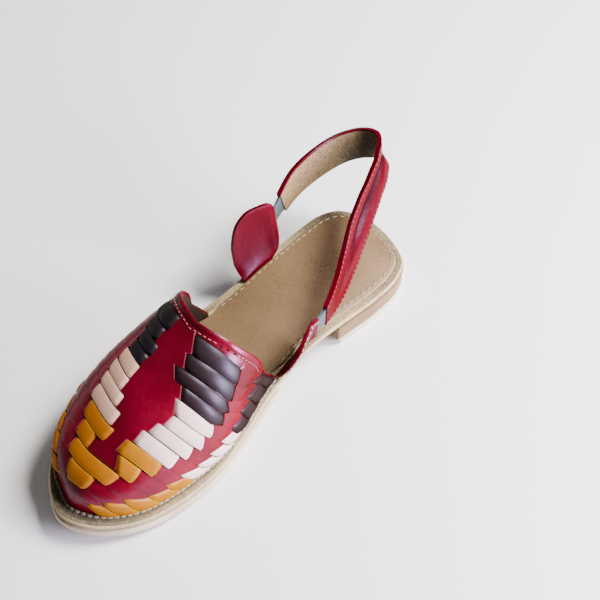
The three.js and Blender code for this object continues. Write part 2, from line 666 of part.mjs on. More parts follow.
// A side tab: it stands on the rim, flares out over the sole's edge and ends where the elastic starts
function sideTab({ rows, side, flare, end }) {
  const sign = side === 'medial' ? 1 : -1;
  const edge = lineInside(() => 0);
  const section = strapSection(end);
  const half = STRAP_WIDTH / 2;
  const lower = section.middle.clone().addScaledVector(section.upward, -half);
  const upper = section.middle.clone().addScaledVector(section.upward, half);
  const tabRows = rows.map((row) => {
    const footX = row.foot * SOLE_LENGTH;
    const headX = row.head * SOLE_LENGTH;
    const lifted = row.footRise > 0 ? TAB_SETBACK * (1 - row.footRise) : TAB_SETBACK;
    const foot = new THREE.Vector3(footX, across(edge, side, footX) - sign * lifted,
      upperFoot(footX) + row.footRise * TAB_HEIGHT);
    const head = new THREE.Vector3(headX, across(edge, side, headX) + sign * row.out * flare,
      upperFoot(headX) + row.headRise * TAB_HEIGHT);
    return { foot, head };
  });
  tabRows.push({ foot: lower, head: upper });
  const feet = new THREE.CatmullRomCurve3(tabRows.map((row) => row.foot), false, 'centripetal');
  const heads = new THREE.CatmullRomCurve3(tabRows.map((row) => row.head), false, 'centripetal');
  const middles = [];
  const shares = [0, 0.2, 0.4, 0.6, 0.8, 1];
  for (let step = 0; step <= TAB_STEPS; step += 1) {
    const share = step / TAB_STEPS;
    const foot = feet.getPoint(share);
    const head = heads.getPoint(share);
    middles.push(shares.map((rise) => {
      const place = foot.clone().lerp(head, rise);
      const bow = 0.06 * (1 - share) * foot.distanceTo(head) * Math.sin(Math.PI * rise);
      return place.add(new THREE.Vector3(0, sign * bow, 0));
    }));
  }
  return thicken(middles, TAB_THICKNESS, sign, section.out);
}

// Gives a sheet of points its thickness, half to each side. Its lowest row stays on the rim where it stands,
// and its last line faces along endOut.
function thicken(middles, thickness, sign, endOut) {
  const outer = [];
  const inner = [];
  const lines = middles.length;
  const rows = middles[0].length;
  middles.forEach((line, at) => {
    const outerLine = [];
    const innerLine = [];
    line.forEach((place, row) => {
      const ahead = middles[Math.min(at + 1, lines - 1)][row].clone().sub(middles[Math.max(at - 1, 0)][row]);
      const up = line[Math.min(row + 1, rows - 1)].clone().sub(line[Math.max(row - 1, 0)]);
      const out = new THREE.Vector3().crossVectors(ahead, up).normalize();
      if (out.y * sign < 0) out.negate();
      if (at === lines - 1) out.copy(endOut);
      const stands = row === 0 && Math.abs(place.z - upperFoot(place.x)) < GAP;
      if (stands) out.setZ(0).normalize();
      outerLine.push(place.clone().addScaledVector(out, thickness / 2));
      innerLine.push(place.clone().addScaledVector(out, -thickness / 2));
      if (stands) {
        for (const corner of [outerLine[0], innerLine[0]]) corner.setZ(upperFoot(corner.x));
      }
    });
    outer.push(outerLine);
    inner.push(innerLine);
  });
  return sign < 0 ? wall(outer, inner) : wall(inner, outer);
}

function insoleMargin(along, side) {
  const inUpper = RIM_WIDTH * read(RIM, 'along', side, along) + WALL + 2 * GAP;
  const start = VAMP_BACK / SOLE_LENGTH;
  return lerp(INSOLE_MARGIN, inUpper, smoothstep(along, start - 0.04, start - 0.01));
}

const sandal = new THREE.Group();

function add(name, geometry, look) {
  const mesh = new THREE.Mesh(geometry, new THREE.MeshStandardMaterial(look));
  mesh.name = name;
  sandal.add(mesh);
}

add('forefoot_outsole', layer({
  bottom: treadBottom, top: seatAt, profile: TREAD_SIDE, from: TREAD_START,
}), soleTan);

add('heel_lift', layer({
  bottom: () => 0, top: () => LIFT_THICKNESS, profile: LIFT_SIDE, to: HEEL_LENGTH,
}), soleTan);

add('heel_block', layer({
  bottom: () => LIFT_THICKNESS + GAP, top: seatAt, profile: BLOCK_SIDE, to: HEEL_LENGTH,
}), heelTan);

add('midsole', layer({ bottom: midsoleBottom, top: rimTop, profile: MIDSOLE_SIDE }), rimTan);

add('insole', layer({
  bottom: upperFoot, top: (x) => upperFoot(x) + INSOLE_THICKNESS, profile: INSOLE_SIDE, margin: insoleMargin,
}), footbedTan);

add('woven_upper', wovenUpper(), leatherRed);

add('heel_strap', band({
  from: ELASTIC_SHARE + 2 * GAP_SHARE,
  to: 1 - ELASTIC_SHARE - 2 * GAP_SHARE,
  width: STRAP_WIDTH,
  thickness: STRAP_THICKNESS,
  crease: CREASE_DEPTH,
}), leatherRed);

add('elastic_lateral', band({
  from: GAP_SHARE,
  to: ELASTIC_SHARE + GAP_SHARE,
  width: ELASTIC_WIDTH,
  thickness: ELASTIC_THICKNESS,
  crease: 0,
}), elasticDark);

add('elastic_medial', band({
  from: 1 - ELASTIC_SHARE - GAP_SHARE,
  to: 1 - GAP_SHARE,
  width: ELASTIC_WIDTH,
  thickness: ELASTIC_THICKNESS,
  crease: 0,
}), elasticDark);

add('side_tab_lateral', sideTab({
  rows: LATERAL_TAB, side: 'lateral', flare: LATERAL_TAB_FLARE, end: 0,
}), leatherRed);

add('side_tab_medial', sideTab({
  rows: MEDIAL_TAB, side: 'medial', flare: MEDIAL_TAB_FLARE, end: 1,
}), leatherRed);

const box = new THREE.Box3().setFromObject(sandal);
const middle = box.getCenter(new THREE.Vector3());
sandal.position.set(-middle.x, -middle.y, -box.min.z);
sandal.updateMatrixWorld(true);

export default sandal;
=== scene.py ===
"""Woven leather huarache sandal, right shoe.

The leather, weave, seams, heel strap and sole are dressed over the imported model, in metres and in its frame.
Shapes are worked out in millimetres from the back of the heel, with X to the toe and Y to the medial side.
"""

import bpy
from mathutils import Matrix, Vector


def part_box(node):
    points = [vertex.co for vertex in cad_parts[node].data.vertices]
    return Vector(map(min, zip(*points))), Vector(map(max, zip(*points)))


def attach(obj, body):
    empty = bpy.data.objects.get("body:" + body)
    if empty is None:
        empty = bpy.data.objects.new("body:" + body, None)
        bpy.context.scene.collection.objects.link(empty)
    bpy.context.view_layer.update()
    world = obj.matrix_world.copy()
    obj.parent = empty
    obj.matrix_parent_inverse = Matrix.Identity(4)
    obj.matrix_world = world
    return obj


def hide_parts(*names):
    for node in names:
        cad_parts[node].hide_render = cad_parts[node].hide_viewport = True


bl_info = {
    "name": "Woven Huarache Sandal",
    "version": (1, 0, 0),
    "blender": (4, 5, 0),
    "location": "View3D > Sidebar > Sandal",
    "description": "Builds the leather, weave, seams and sole of a huarache sandal",
    "category": "Object",
}

import math

import bpy
import numpy as np
from bpy.props import FloatProperty, FloatVectorProperty, IntProperty, PointerProperty
from mathutils import Matrix, Vector
from mathutils.bvhtree import BVHTree
from mathutils.kdtree import KDTree

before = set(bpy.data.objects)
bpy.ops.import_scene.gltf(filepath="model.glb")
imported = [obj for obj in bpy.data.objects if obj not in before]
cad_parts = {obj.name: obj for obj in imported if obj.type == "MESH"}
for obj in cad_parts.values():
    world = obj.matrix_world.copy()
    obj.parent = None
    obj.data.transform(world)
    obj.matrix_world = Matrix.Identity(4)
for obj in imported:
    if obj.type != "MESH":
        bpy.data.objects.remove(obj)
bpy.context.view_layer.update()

SOLE_LENGTH = 250.0
BALL_WIDTH = 90.5
HEEL_WIDTH = 68.0
HEEL_HEIGHT = 14.0
HEEL_LENGTH = 0.272 * SOLE_LENGTH
TREAD_START = 0.456 * SOLE_LENGTH
TREAD_THICKNESS = 5.0
SKIVE_LENGTH = 10.0
MIDSOLE_THICKNESS = 4.0
TOE_SPRING = 6.8
SPRING_START = 0.72 * SOLE_LENGTH
GAP = 0.3
VAMP_BACK = 0.452 * SOLE_LENGTH
THROAT_REACH = 0.126 * SOLE_LENGTH
INSTEP_HEIGHT = 57.0
TOE_BOX_HEIGHT = 23.0
TOE_ROUNDING = 18.0
RIM_WIDTH = 7.2
STRAP_WIDTH = 17.5
STRAP_THICKNESS = 2.6
STRAP_HEIGHT = 58.0
ELASTIC_LENGTH = 8.0
ELASTIC_WIDTH = 13.0
TAB_HEIGHT = 34.0
TAB_SETBACK = 4.6
LATERAL_TAB_FLARE = 9.0
MEDIAL_TAB_FLARE = 6.4
# Powers of the upper's section at its side, crown and toe, its bulge and its ridge off the middle
SECTION_SIDE = 2.55
SECTION_CROWN = 2.15
TOE_POWER = 2.3
SECTION_BULGE = 0.035
SECTION_RIDGE = 0.03
SWEEP = 0.6
CROWN_ROUNDING = 0.08
BOW_DEPTH = 0.14
BOW_REACH = 0.2
THROAT_LIP = 1.0
INSOLE_THICKNESS = 1.6


def columns(names, rows):
    """A short table as named columns."""
    return dict(zip(names.split(), np.array(rows, dtype=float).T))


# Half widths of the sole as shares of the width there, at shares of its length
OUTLINE = columns("along medial lateral", [
    (0.03, 0.36, 0.397),
    (0.08, 0.471, 0.493),
    (0.16, 0.507, 0.496),
    (0.27, 0.493, 0.467),
    (0.38, 0.459, 0.427),
    (0.48, 0.451, 0.403),
    (0.58, 0.507, 0.402),
    (0.68, 0.586, 0.409),
    (0.78, 0.599, 0.367),
    (0.87, 0.561, 0.265),
    (0.94, 0.464, 0.105),
    (0.98, 0.354, -0.055),
])
HEEL_BACK = (0.0, -0.081)
TOE_TIP = (1.0, 0.221)

# Distance of the upper's foot from the sole's edge, as shares of the rim's width
RIM = columns("along medial lateral", [
    (0.3, 0.76, 0.83),
    (0.45, 0.76, 0.83),
    (0.6, 0.64, 0.7),
    (0.72, 1.0, 0.6),
    (0.85, 1.03, 0.53),
    (0.93, 1.06, 0.47),
    (1.0, 1.2, 1.2),
])

# Height of the upper's ridge at shares of its length
RIDGE = columns("along rise", [
    (0.0, 1.19),
    (0.245, 1.0),
    (0.41, 0.79),
    (0.605, 0.53),
    (0.76, 0.25),
    (0.885, 0.0),
    (1.0, -0.18),
])

# Reach of the throat's edge toward the toe at shares of the girth
THROAT = columns("girth reach", [
    (0.0, 0.0),
    (0.06, 0.15),
    (0.12, 0.32),
    (0.21, 0.4),
    (0.33, 0.7),
    (0.42, 0.9),
    (0.5, 1.0),
])

# Lines between the strips, at the rim and at the crown, as shares of the upper's length, and how much each
# bows back beside the rim
WEAVE_LINES = columns("rim crown bow", [
    (-0.01, 0.314, 1.0),
    (0.045, 0.388, 1.0),
    (0.131, 0.443, 1.0),
    (0.205, 0.49, 1.0),
    (0.28, 0.533, 0.75),
    (0.335, 0.592, 0.4),
    (0.4, 0.643, 0.15),
    (0.471, 0.69, 0.0),
    (0.549, 0.745, 0.0),
    (0.627, 0.8, 0.0),
    (0.714, 0.855, 0.0),
    (0.8, 0.91, 0.0),
    (0.871, 0.965, 0.0),
    (0.933, 0.985, 0.0),
])

# Where each strip dives under the leather, as shares of the girth at the strip's back and front edge. Medial
# side: the edge row's end, the inner row's outer and inner end. Lateral side: the same three, named far.
END_NAMES = ("edge", "outer", "inner", "far_in", "far_out", "far_edge")
STRIP_ENDS = columns(
    " ".join(name + edge for name in END_NAMES for edge in ("_b", "_f")), [
        (0.135, 0.158, 0.265, 0.235, 0.472, 0.431, 0.555, 0.560, 0.690, 0.690, 0.850, 0.850),
        (0.118, 0.136, 0.238, 0.203, 0.452, 0.418, 0.570, 0.570, 0.665, 0.665, 0.860, 0.860),
        (0.098, 0.118, 0.222, 0.176, 0.456, 0.415, 0.545, 0.545, 0.655, 0.655, 0.875, 0.865),
        (0.080, 0.094, 0.197, 0.156, 0.385, 0.351, 0.550, 0.552, 0.655, 0.655, 0.890, 0.872),
        (0.064, 0.089, 0.196, 0.152, 0.368, 0.328, 0.548, 0.548, 0.662, 0.662, 0.895, 0.872),
        (0.054, 0.081, 0.186, 0.132, 0.326, 0.324, 0.546, 0.547, 0.668, 0.668, 0.895, 0.870),
        (0.048, 0.074, 0.177, 0.144, 0.342, 0.345, 0.517, 0.517, 0.665, 0.667, 0.890, 0.865),
        (0.050, 0.094, 0.187, 0.164, 0.365, 0.358, 0.482, 0.482, 0.659, 0.677, 0.880, 0.850),
        (0.060, 0.098, 0.205, 0.183, 0.385, 0.384, 0.456, 0.463, 0.646, 0.653, 0.860, 0.835),
        (0.060, 0.095, 0.243, 0.214, 0.366, 0.310, 0.508, 0.508, 0.621, 0.641, 0.840, 0.800),
        (0.078, 0.157, 0.274, 0.265, 0.400, 0.400, 0.480, 0.480, 0.599, 0.632, 0.800, 0.755),
        (0.105, 0.183, 0.340, 0.321, 0.410, 0.410, 0.490, 0.490, 0.566, 0.574, 0.770, 0.725),
        (0.125, 0.228, 0.340, 0.321, 0.410, 0.410, 0.490, 0.490, 0.566, 0.574, 0.730, 0.690),
    ])
LAST_STRIP = 12
CROSSING_STRIPS = (10, 11)
BROWN_STRIPS = (0, 1, 2, 3)
PINK_STRIPS = (4, 5, 6, 7)

# Middle line of the strap, in shares of the sole's length, the heel's width and the strap's height
STRAP_PATH = columns("along across up lean crease", [
    (0.217, -0.53, 0.705, 0.0, 0.0),
    (0.183, -0.57, 0.745, -0.1, 0.0),
    (0.128, -0.615, 0.82, -0.26, 0.0),
    (0.061, -0.61, 0.89, -0.4, 0.1),
    (0.0, -0.56, 0.945, -0.5, 0.2),
    (-0.041, -0.462, 0.98, -0.57, 0.3),
    (-0.053, -0.357, 1.003, -0.58, 0.5),
    (-0.046, -0.266, 0.99, -0.5, 0.8),
    (-0.02, -0.18, 0.95, -0.42, 1.0),
    (0.022, -0.1, 0.877, -0.42, 1.0),
    (0.068, -0.021, 0.79, -0.49, 1.0),
    (0.119, 0.076, 0.71, -0.53, 0.8),
    (0.18, 0.208, 0.65, -0.43, 0.5),
    (0.248, 0.345, 0.61, -0.23, 0.2),
    (0.31, 0.44, 0.593, 0.0, 0.0),
    (0.346, 0.476, 0.587, 0.06, 0.0),
])

# Lower and upper edge of each side tab, from its front to the elastic
LATERAL_TAB = columns("foot foot_rise head head_rise out", [
    (0.345, 0.0, 0.35, 0.28, 0.25),
    (0.33, 0.0, 0.34, 0.62, 0.7),
    (0.308, 0.0, 0.318, 0.86, 1.0),
    (0.282, 0.0, 0.288, 0.98, 0.98),
    (0.256, 0.0, 0.256, 1.0, 0.75),
    (0.234, 0.14, 0.232, 0.98, 0.5),
])
MEDIAL_TAB = columns("foot foot_rise head head_rise out", [
    (0.4475, 0.0, 0.456, 0.32, 0.0),
    (0.435, 0.0, 0.449, 0.62, 0.7),
    (0.415, 0.0, 0.425, 0.84, 1.0),
    (0.39, 0.0, 0.4, 0.93, 0.75),
    (0.368, 0.1, 0.374, 0.93, 0.4),
])


def blend(a, b, share):
    """The value at a share of the way from a to b."""
    return a + (b - a) * share


def smoothstep(value, low, high):
    """0 below low, 1 above high, smooth between."""
    share = np.clip((np.asarray(value, dtype=float) - low) / (high - low), 0, 1)
    return share * share * (3 - 2 * share)


def read(table, key, column, at):
    """A column read between its rows, with a smooth curve through them."""
    keys = table[key]
    values = table[column]
    at = np.clip(np.asarray(at, dtype=float), keys[0], keys[-1])
    slopes = np.empty(len(keys))
    slopes[1:-1] = (values[2:] - values[:-2]) / (keys[2:] - keys[:-2])
    slopes[0] = (values[1] - values[0]) / (keys[1] - keys[0])
    slopes[-1] = (values[-1] - values[-2]) / (keys[-1] - keys[-2])
    row = np.clip(np.searchsorted(keys, at, side="left") - 1, 0, len(keys) - 2)
    span = keys[row + 1] - keys[row]
    t = (at - keys[row]) / span
    return (values[row] * (1 + 2 * t) * (1 - t) ** 2 + slopes[row] * span * t * (1 - t) ** 2
            + values[row + 1] * t * t * (3 - 2 * t) + slopes[row + 1] * span * t * t * (t - 1))


def by_side(table, along, medial):
    """A table with a medial and a lateral column, read at shares of the length."""
    return np.where(medial, read(table, "along", "medial", along), read(table, "along", "lateral", along))


def unit(vectors):
    """Vectors made one long."""
    return vectors / np.linalg.norm(vectors, axis=-1, keepdims=True)


def reach_along(points):
    """Distance from a line's start to each of its points."""
    return np.concatenate([[0], np.cumsum(np.linalg.norm(np.diff(points, axis=0), axis=1))])


def read_line(points, keys, at):
    """Points of a line where its keys have the wanted values."""
    return np.stack([np.interp(at, keys, column) for column in points.T], axis=-1)


def smooth_curve(points, closed, steps=40):
    """Points, directions and the share of the way along a curve that passes through all the given points."""
    points = np.asarray(points, dtype=float)
    count = len(points)
    spans = count if closed else count - 1
    t = np.arange(steps) / steps
    places = []
    for index in range(spans):
        if closed:
            p0, p1, p2, p3 = (points[(index + shift) % count] for shift in (-1, 0, 1, 2))
        else:
            p1, p2 = points[index], points[index + 1]
            p0 = points[index - 1] if index > 0 else 2 * points[0] - points[1]
            p3 = points[index + 2] if index + 2 < count else 2 * points[-1] - points[-2]
        d0, d1, d2 = (np.linalg.norm(b - a) ** 0.5 for a, b in ((p0, p1), (p1, p2), (p2, p3)))
        m1 = ((p1 - p0) / d0 - (p2 - p0) / (d0 + d1) + (p2 - p1) / d1) * d1
        m2 = ((p2 - p1) / d1 - (p3 - p1) / (d1 + d2) + (p3 - p2) / d2) * d1
        s = t[:, None]
        places.append(p1 * (1 + 2 * s) * (1 - s) ** 2 + m1 * s * (1 - s) ** 2
                      + p2 * s * s * (3 - 2 * s) + m2 * s * s * (s - 1))
    places = np.vstack(places)
    if not closed:
        places = np.vstack([places, points[-1]])
        ahead = np.gradient(places, axis=0)
    else:
        ahead = np.roll(places, -1, axis=0) - np.roll(places, 1, axis=0)
    share = np.arange(len(places)) / (len(places) if closed else len(places) - 1)
    return places, unit(ahead), share


def sole_edge():
    """The sole's edge seen from above: places, directions inward, and whether each is on the medial side."""
    def point(along, across):
        width = blend(HEEL_WIDTH, BALL_WIDTH, smoothstep(along, 0.3, 0.6))
        return (along * SOLE_LENGTH, across * float(width))
    medial = [point(a, m) for a, m in zip(OUTLINE["along"], OUTLINE["medial"])]
    lateral = [point(a, -b) for a, b in zip(OUTLINE["along"], OUTLINE["lateral"])][::-1]
    ring = [point(*HEEL_BACK), *medial, point(*TOE_TIP), *lateral]
    places, ahead, share = smooth_curve(ring, closed=True)
    inward = np.stack([ahead[:, 1], -ahead[:, 0]], axis=1)
    return places, inward, share < (len(medial) + 1) / len(ring)


EDGE_PLACES, EDGE_INWARD, EDGE_MEDIAL = sole_edge()


def line_inside(inset):
    """The line at a distance inside the sole's edge: a point ring and a reader of y at x for each side."""
    along = EDGE_PLACES[:, 0] / SOLE_LENGTH
    distance = inset(along, EDGE_MEDIAL) if callable(inset) else np.full(len(along), float(inset))
    ring = EDGE_PLACES + EDGE_INWARD * distance[:, None]
    back, tip = int(np.argmin(ring[:, 0])), int(np.argmax(ring[:, 0]))
    turned = np.roll(ring, -back, axis=0)
    cut = (tip - back) % len(ring)
    medial = turned[:cut + 1]
    lateral = np.vstack([turned[cut:], turned[:1]])[::-1]

    def across(side, x):
        points = medial if side == "medial" else lateral
        return np.interp(x, np.maximum.accumulate(points[:, 0]), points[:, 1])
    return {"ring": ring, "across": across, "tip": ring[tip], "back": ring[back]}


def rim_inset(along, medial):
    """Distance from the sole's edge to the foot of the upper."""
    return RIM_WIDTH * by_side(RIM, along, medial)


UPPER_LINE = line_inside(rim_inset)
TOE_END = float(UPPER_LINE["tip"][0])
TOE_Y = float(UPPER_LINE["tip"][1])


def spring_at(x):
    """Rise of the sole toward the toe."""
    return TOE_SPRING * (np.maximum(x - SPRING_START, 0) / (SOLE_LENGTH - SPRING_START)) ** 2


def seat_at(x):
    """Height of the line that the midsole sits on."""
    forward = smoothstep(x, HEEL_LENGTH, TREAD_START + SKIVE_LENGTH)
    return spring_at(x) + blend(HEEL_HEIGHT, TREAD_THICKNESS, forward)


def rim_top(x):
    """Height of the midsole's top."""
    return seat_at(x) + GAP + MIDSOLE_THICKNESS


def upper_foot(x):
    """Height of the upper's foot."""
    return rim_top(x) + GAP


def origin():
    """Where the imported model's origin lies in millimetres from the back of the heel."""
    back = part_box("heel_lift")[0][0] * 1000
    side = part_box("forefoot_outsole")[1][1] * 1000
    return np.array([-back, EDGE_PLACES[:, 1].max() - side, 0.0])


ORIGIN = origin()


def to_frame(points):
    """Millimetres from the back of the heel as metres in the model's frame."""
    return (np.asarray(points, dtype=float) - ORIGIN) / 1000


def section_point(x, turn):
    """A point of the upper at x and a turn from the medial rim (0) to the lateral rim (pi)."""
    medial = UPPER_LINE["across"]("medial", x)
    lateral = UPPER_LINE["across"]("lateral", x)
    half = (medial - lateral) / 2
    along = (x - VAMP_BACK) / (TOE_END - VAMP_BACK)
    to_toe = np.clip((TOE_END - x) / TOE_ROUNDING, 0, 1)
    rounding = (1 - (1 - to_toe) ** TOE_POWER) ** (1 / TOE_POWER)
    height = blend(TOE_BOX_HEIGHT, INSTEP_HEIGHT, read(RIDGE, "along", "rise", along)) * rounding
    sideways = np.cos(turn)
    out = np.sign(sideways) * np.abs(sideways) ** (2 / SECTION_SIDE)
    up = np.abs(np.sin(turn)) ** (2 / SECTION_CROWN)
    bulge = 1 + SECTION_BULGE * np.sin(2 * turn) ** 2
    y = (medial + lateral) / 2 + half * (out * bulge + SECTION_RIDGE * up ** 1.5)
    return np.stack(np.broadcast_arrays(x, y, upper_foot(x) + height * up), axis=-1)


def girth_chart():
    """The turn at each share of the girth, on a grid of places along the upper."""
    xs = np.linspace(VAMP_BACK - 2, TOE_END - 0.001, 260)
    turns = np.linspace(0, math.pi, 161)
    girths = np.linspace(0, 1, 241)
    points = section_point(xs[:, None], turns[None, :])
    steps = np.linalg.norm(np.diff(points, axis=1), axis=2)
    reach = np.concatenate([np.zeros((len(xs), 1)), np.cumsum(steps, axis=1)], axis=1)
    chart = np.array([np.interp(girths * run[-1], run, turns) for run in reach])
    return xs, girths, chart, reach[:, -1]


CHART_X, CHART_GIRTH, CHART_TURN, CHART_LENGTH = girth_chart()


def turn_at(x, girth):
    """The turn at a share of the girth, read from the chart."""
    column = np.clip((x - CHART_X[0]) / (CHART_X[1] - CHART_X[0]), 0, len(CHART_X) - 1.001)
    row = np.clip(girth, 0, 1) * (len(CHART_GIRTH) - 1.001)
    i, j = column.astype(int), row.astype(int)
    a, b = column - i, row - j
    low = CHART_TURN[i, j] * (1 - b) + CHART_TURN[i, j + 1] * b
    high = CHART_TURN[i + 1, j] * (1 - b) + CHART_TURN[i + 1, j + 1] * b
    return low * (1 - a) + high * a


def girth_length(x):
    """The upper's girth in millimetres at x."""
    return np.interp(x, CHART_X, CHART_LENGTH)


def upper_point(x, girth, lift):
    """A point over the upper's surface, lifted along the direction out of it."""
    x, girth, lift = np.broadcast_arrays(*(np.asarray(v, dtype=float) for v in (x, girth, lift)))
    x = np.minimum(x, TOE_END - 0.002)
    turn = turn_at(x, girth)
    place = section_point(x, turn)
    step = np.minimum(0.4, (TOE_END - x) / 2)
    ahead = section_point(x + step, turn) - section_point(x - step, turn)
    around = section_point(x, np.minimum(turn + 0.02, math.pi)) - section_point(x, np.maximum(turn - 0.02, 0))
    out = unit(np.cross(around, ahead))
    level = np.minimum(1, np.minimum(girth, 1 - girth) / 0.02)
    out[..., 2] *= level
    return place + out * lift[..., None]


def throat_x(girth):
    """x of the throat's edge at a share of the girth."""
    return VAMP_BACK + THROAT_REACH * read(THROAT, "girth", "reach", np.minimum(girth, 1 - girth))


def weave_x(line, girth):
    """x of a weave line at a share of the girth, kept off the throat's edge."""
    rim, crown, bow = (WEAVE_LINES[key][line] for key in ("rim", "crown", "bow"))
    from_crown = np.hypot(0.5 - np.minimum(girth, 1 - girth), CROWN_ROUNDING)
    side = np.maximum(0, 0.5 - from_crown)
    bowed = np.sin(math.pi * np.minimum(side, BOW_REACH) / BOW_REACH)
    swept = (2 * side) ** SWEEP - bow * BOW_DEPTH * bowed
    return np.maximum(blend(VAMP_BACK, TOE_END, blend(rim, crown, swept)), throat_x(girth) + THROAT_LIP)


def strip_end(strip, name, share):
    """Girth share of one end of a strip, at a share of the strip's width."""
    return float(blend(STRIP_ENDS[name + "_b"][strip], STRIP_ENDS[name + "_f"][strip], share))


def size_slot(name, text, default, low, high):
    """A length in millimetres that a user may change."""
    return FloatProperty(name=name, description=text + ", in millimetres", default=default, min=low, max=high)


def colour_slot(name, text, default):
    """A colour that a user may change."""
    return FloatVectorProperty(name=name, description=text, subtype="COLOR", size=3, default=default, min=0, max=1)


class SandalSizes(bpy.types.PropertyGroup):
    strip_lift: size_slot("Strip Lift", "Height of the strips over the leather", 1.25, 0.2, 2.5)
    leather_swell: size_slot("Leather Swell", "Height of the leather over a hidden strip", 0.24, 0.0, 2.0)
    strip_gap: size_slot("Strip Gap", "Gap between two strips", 0.45, 0.1, 2.0)
    seam_inset: size_slot("Seam Inset", "Distance of the throat's seam from its edge", 4.5, 1.0, 8.0)
    edge_rounding: size_slot("Edge Rounding", "Rounding of the sole's edges", 0.45, 0.05, 1.5)
    seed: IntProperty(name="Seed", description="Seed of the small irregularities", default=7)


class SandalColours(bpy.types.PropertyGroup):
    leather: colour_slot("Leather", "Red of the upper and strap", (0.165, 0.0004, 0.0130))
    leather_deep: colour_slot("Deep Leather", "Red in the leather's darker patches", (0.075, 0.0002, 0.0032))
    brown_strip: colour_slot("Brown Strips", "Colour of the strips next to the throat", (0.014, 0.0052, 0.0052))
    pink_strip: colour_slot("Pink Strips", "Colour of the middle strips", (0.80, 0.60, 0.57))
    mustard_strip: colour_slot("Mustard Strips", "Colour of the strips next to the toe", (0.36, 0.135, 0.0003))
    thread: colour_slot("Thread", "Colour of the sole's thread", (0.66, 0.55, 0.42))
    sole: colour_slot("Sole", "Colour of the outsole and lift", (0.36, 0.20, 0.085))
    rim: colour_slot("Rim", "Colour of the midsole's rim", (0.46, 0.36, 0.20))
    lining: colour_slot("Lining", "Colour of the strap's lining", (0.34, 0.21, 0.085))


def sizes():
    """The sizes that a user may change."""
    return bpy.context.scene.sandal_sizes


def colours():
    """The colours that a user may change."""
    return bpy.context.scene.sandal_colours


# Pieces

def deselect():
    """Leaves edit mode and deselects everything."""
    if bpy.context.object and bpy.context.object.mode != "OBJECT":
        bpy.ops.object.mode_set(mode="OBJECT")
    bpy.ops.object.select_all(action="DESELECT")


def pick(piece):
    """Selects one piece alone and makes it active."""
    deselect()
    piece.select_set(True)
    bpy.context.view_layer.objects.active = piece


def edit_all(piece):
    """Opens a piece in edit mode with all of it selected."""
    pick(piece)
    bpy.ops.object.mode_set(mode="EDIT")
    bpy.ops.mesh.select_all(action="SELECT")


def merge_corners(piece, distance):
    """Merges corners that meet, within a distance in metres, and turns all faces outward."""
    edit_all(piece)
    bpy.ops.mesh.remove_doubles(threshold=distance)
    bpy.ops.mesh.normals_make_consistent(inside=False)
    bpy.ops.object.mode_set(mode="OBJECT")


def modify(piece, kind, **settings):
    """Applies one modifier with its settings to a piece."""
    modifier = piece.modifiers.new(kind.lower(), kind)
    for name, value in settings.items():
        setattr(modifier, name, value)
    pick(piece)
    bpy.ops.object.modifier_apply(modifier=modifier.name)


def smooth(piece, degrees):
    """Smooth shading with sharp edges above an angle."""
    pick(piece)
    bpy.ops.object.shade_smooth_by_angle(angle=math.radians(degrees))


def finish_piece(piece, material, stands_for=()):
    """Gives a piece its material, its body and the solids that it stands for."""
    piece.data.materials.clear()
    piece.data.materials.append(material)
    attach(piece, "root")
    if stands_for:
        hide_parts(*stands_for)
    return piece


def make_mesh(name, corners, faces):
    """A new mesh object from corners in millimetres."""
    mesh = bpy.data.meshes.new(name)
    mesh.from_pydata([tuple(corner) for corner in to_frame(corners)], [], faces)
    mesh.update()
    piece = bpy.data.objects.new(name, mesh)
    bpy.context.collection.objects.link(piece)
    return piece


def sheet_from_grid(name, grid):
    """A sheet that starts as a flat grid and takes the shape of a grid of points, in millimetres."""
    rows, count = grid.shape[:2]
    deselect()
    bpy.ops.mesh.primitive_grid_add(x_subdivisions=count - 1, y_subdivisions=rows - 1, size=1)
    piece = bpy.context.object
    piece.name = name
    piece.data.vertices.foreach_set("co", to_frame(grid.reshape(-1, 3)).ravel())
    piece.data.update()
    return piece


def wall_from_grids(name, outer, inner):
    """A closed wall between two grids of points, in millimetres."""
    rows, count = outer.shape[:2]
    total = rows * count
    corners = np.vstack([outer.reshape(-1, 3), inner.reshape(-1, 3)])
    index = np.arange(total).reshape(rows, count)
    faces = []
    for i in range(rows - 1):
        for j in range(count - 1):
            a, b, c, d = (int(v) for v in (index[i, j], index[i, j + 1], index[i + 1, j + 1], index[i + 1, j]))
            faces.append((a, b, c, d))
            faces.append((d + total, c + total, b + total, a + total))
    ring = [*index[0, :], *index[1:, -1], *index[-1, -2::-1], *index[-2:0:-1, 0]]
    for place, start in enumerate(ring):
        end = ring[(place + 1) % len(ring)]
        faces.append((int(end), int(start), int(start) + total, int(end) + total))
    piece = make_mesh(name, corners, faces)
    merge_corners(piece, 0.000002)
    return piece


def join(pieces, name):
    """Joins pieces into one."""
    deselect()
    for piece in pieces:
        piece.select_set(True)
    bpy.context.view_layer.objects.active = pieces[0]
    if len(pieces) > 1:
        bpy.ops.object.join()
    result = bpy.context.object
    result.name = name
    result.data.name = name
    return result


# Materials

# Colour, deeper colour, roughness and scale of the stains of each plain leather
PLAIN_LEATHERS = {
    "upper lining": ((0.04, 0.021, 0.012), (0.018, 0.009, 0.005), 0.8, 60),
    # The needle hole's near-black is painted shade inside the holes
    "needle hole": ((0.012, 0.004, 0.004), (0.006, 0.002, 0.002), 0.9, 60),
    "heel leather": ((0.20, 0.115, 0.048), (0.12, 0.064, 0.026), 0.5, 60),
    "footbed leather": ((0.20, 0.125, 0.06), (0.11, 0.065, 0.03), 0.5, 35),
    # The bottom channel's darker colour is painted shade of the stitching groove
    "bottom channel": ((0.20, 0.115, 0.05), (0.13, 0.07, 0.03), 0.8, 60),
}
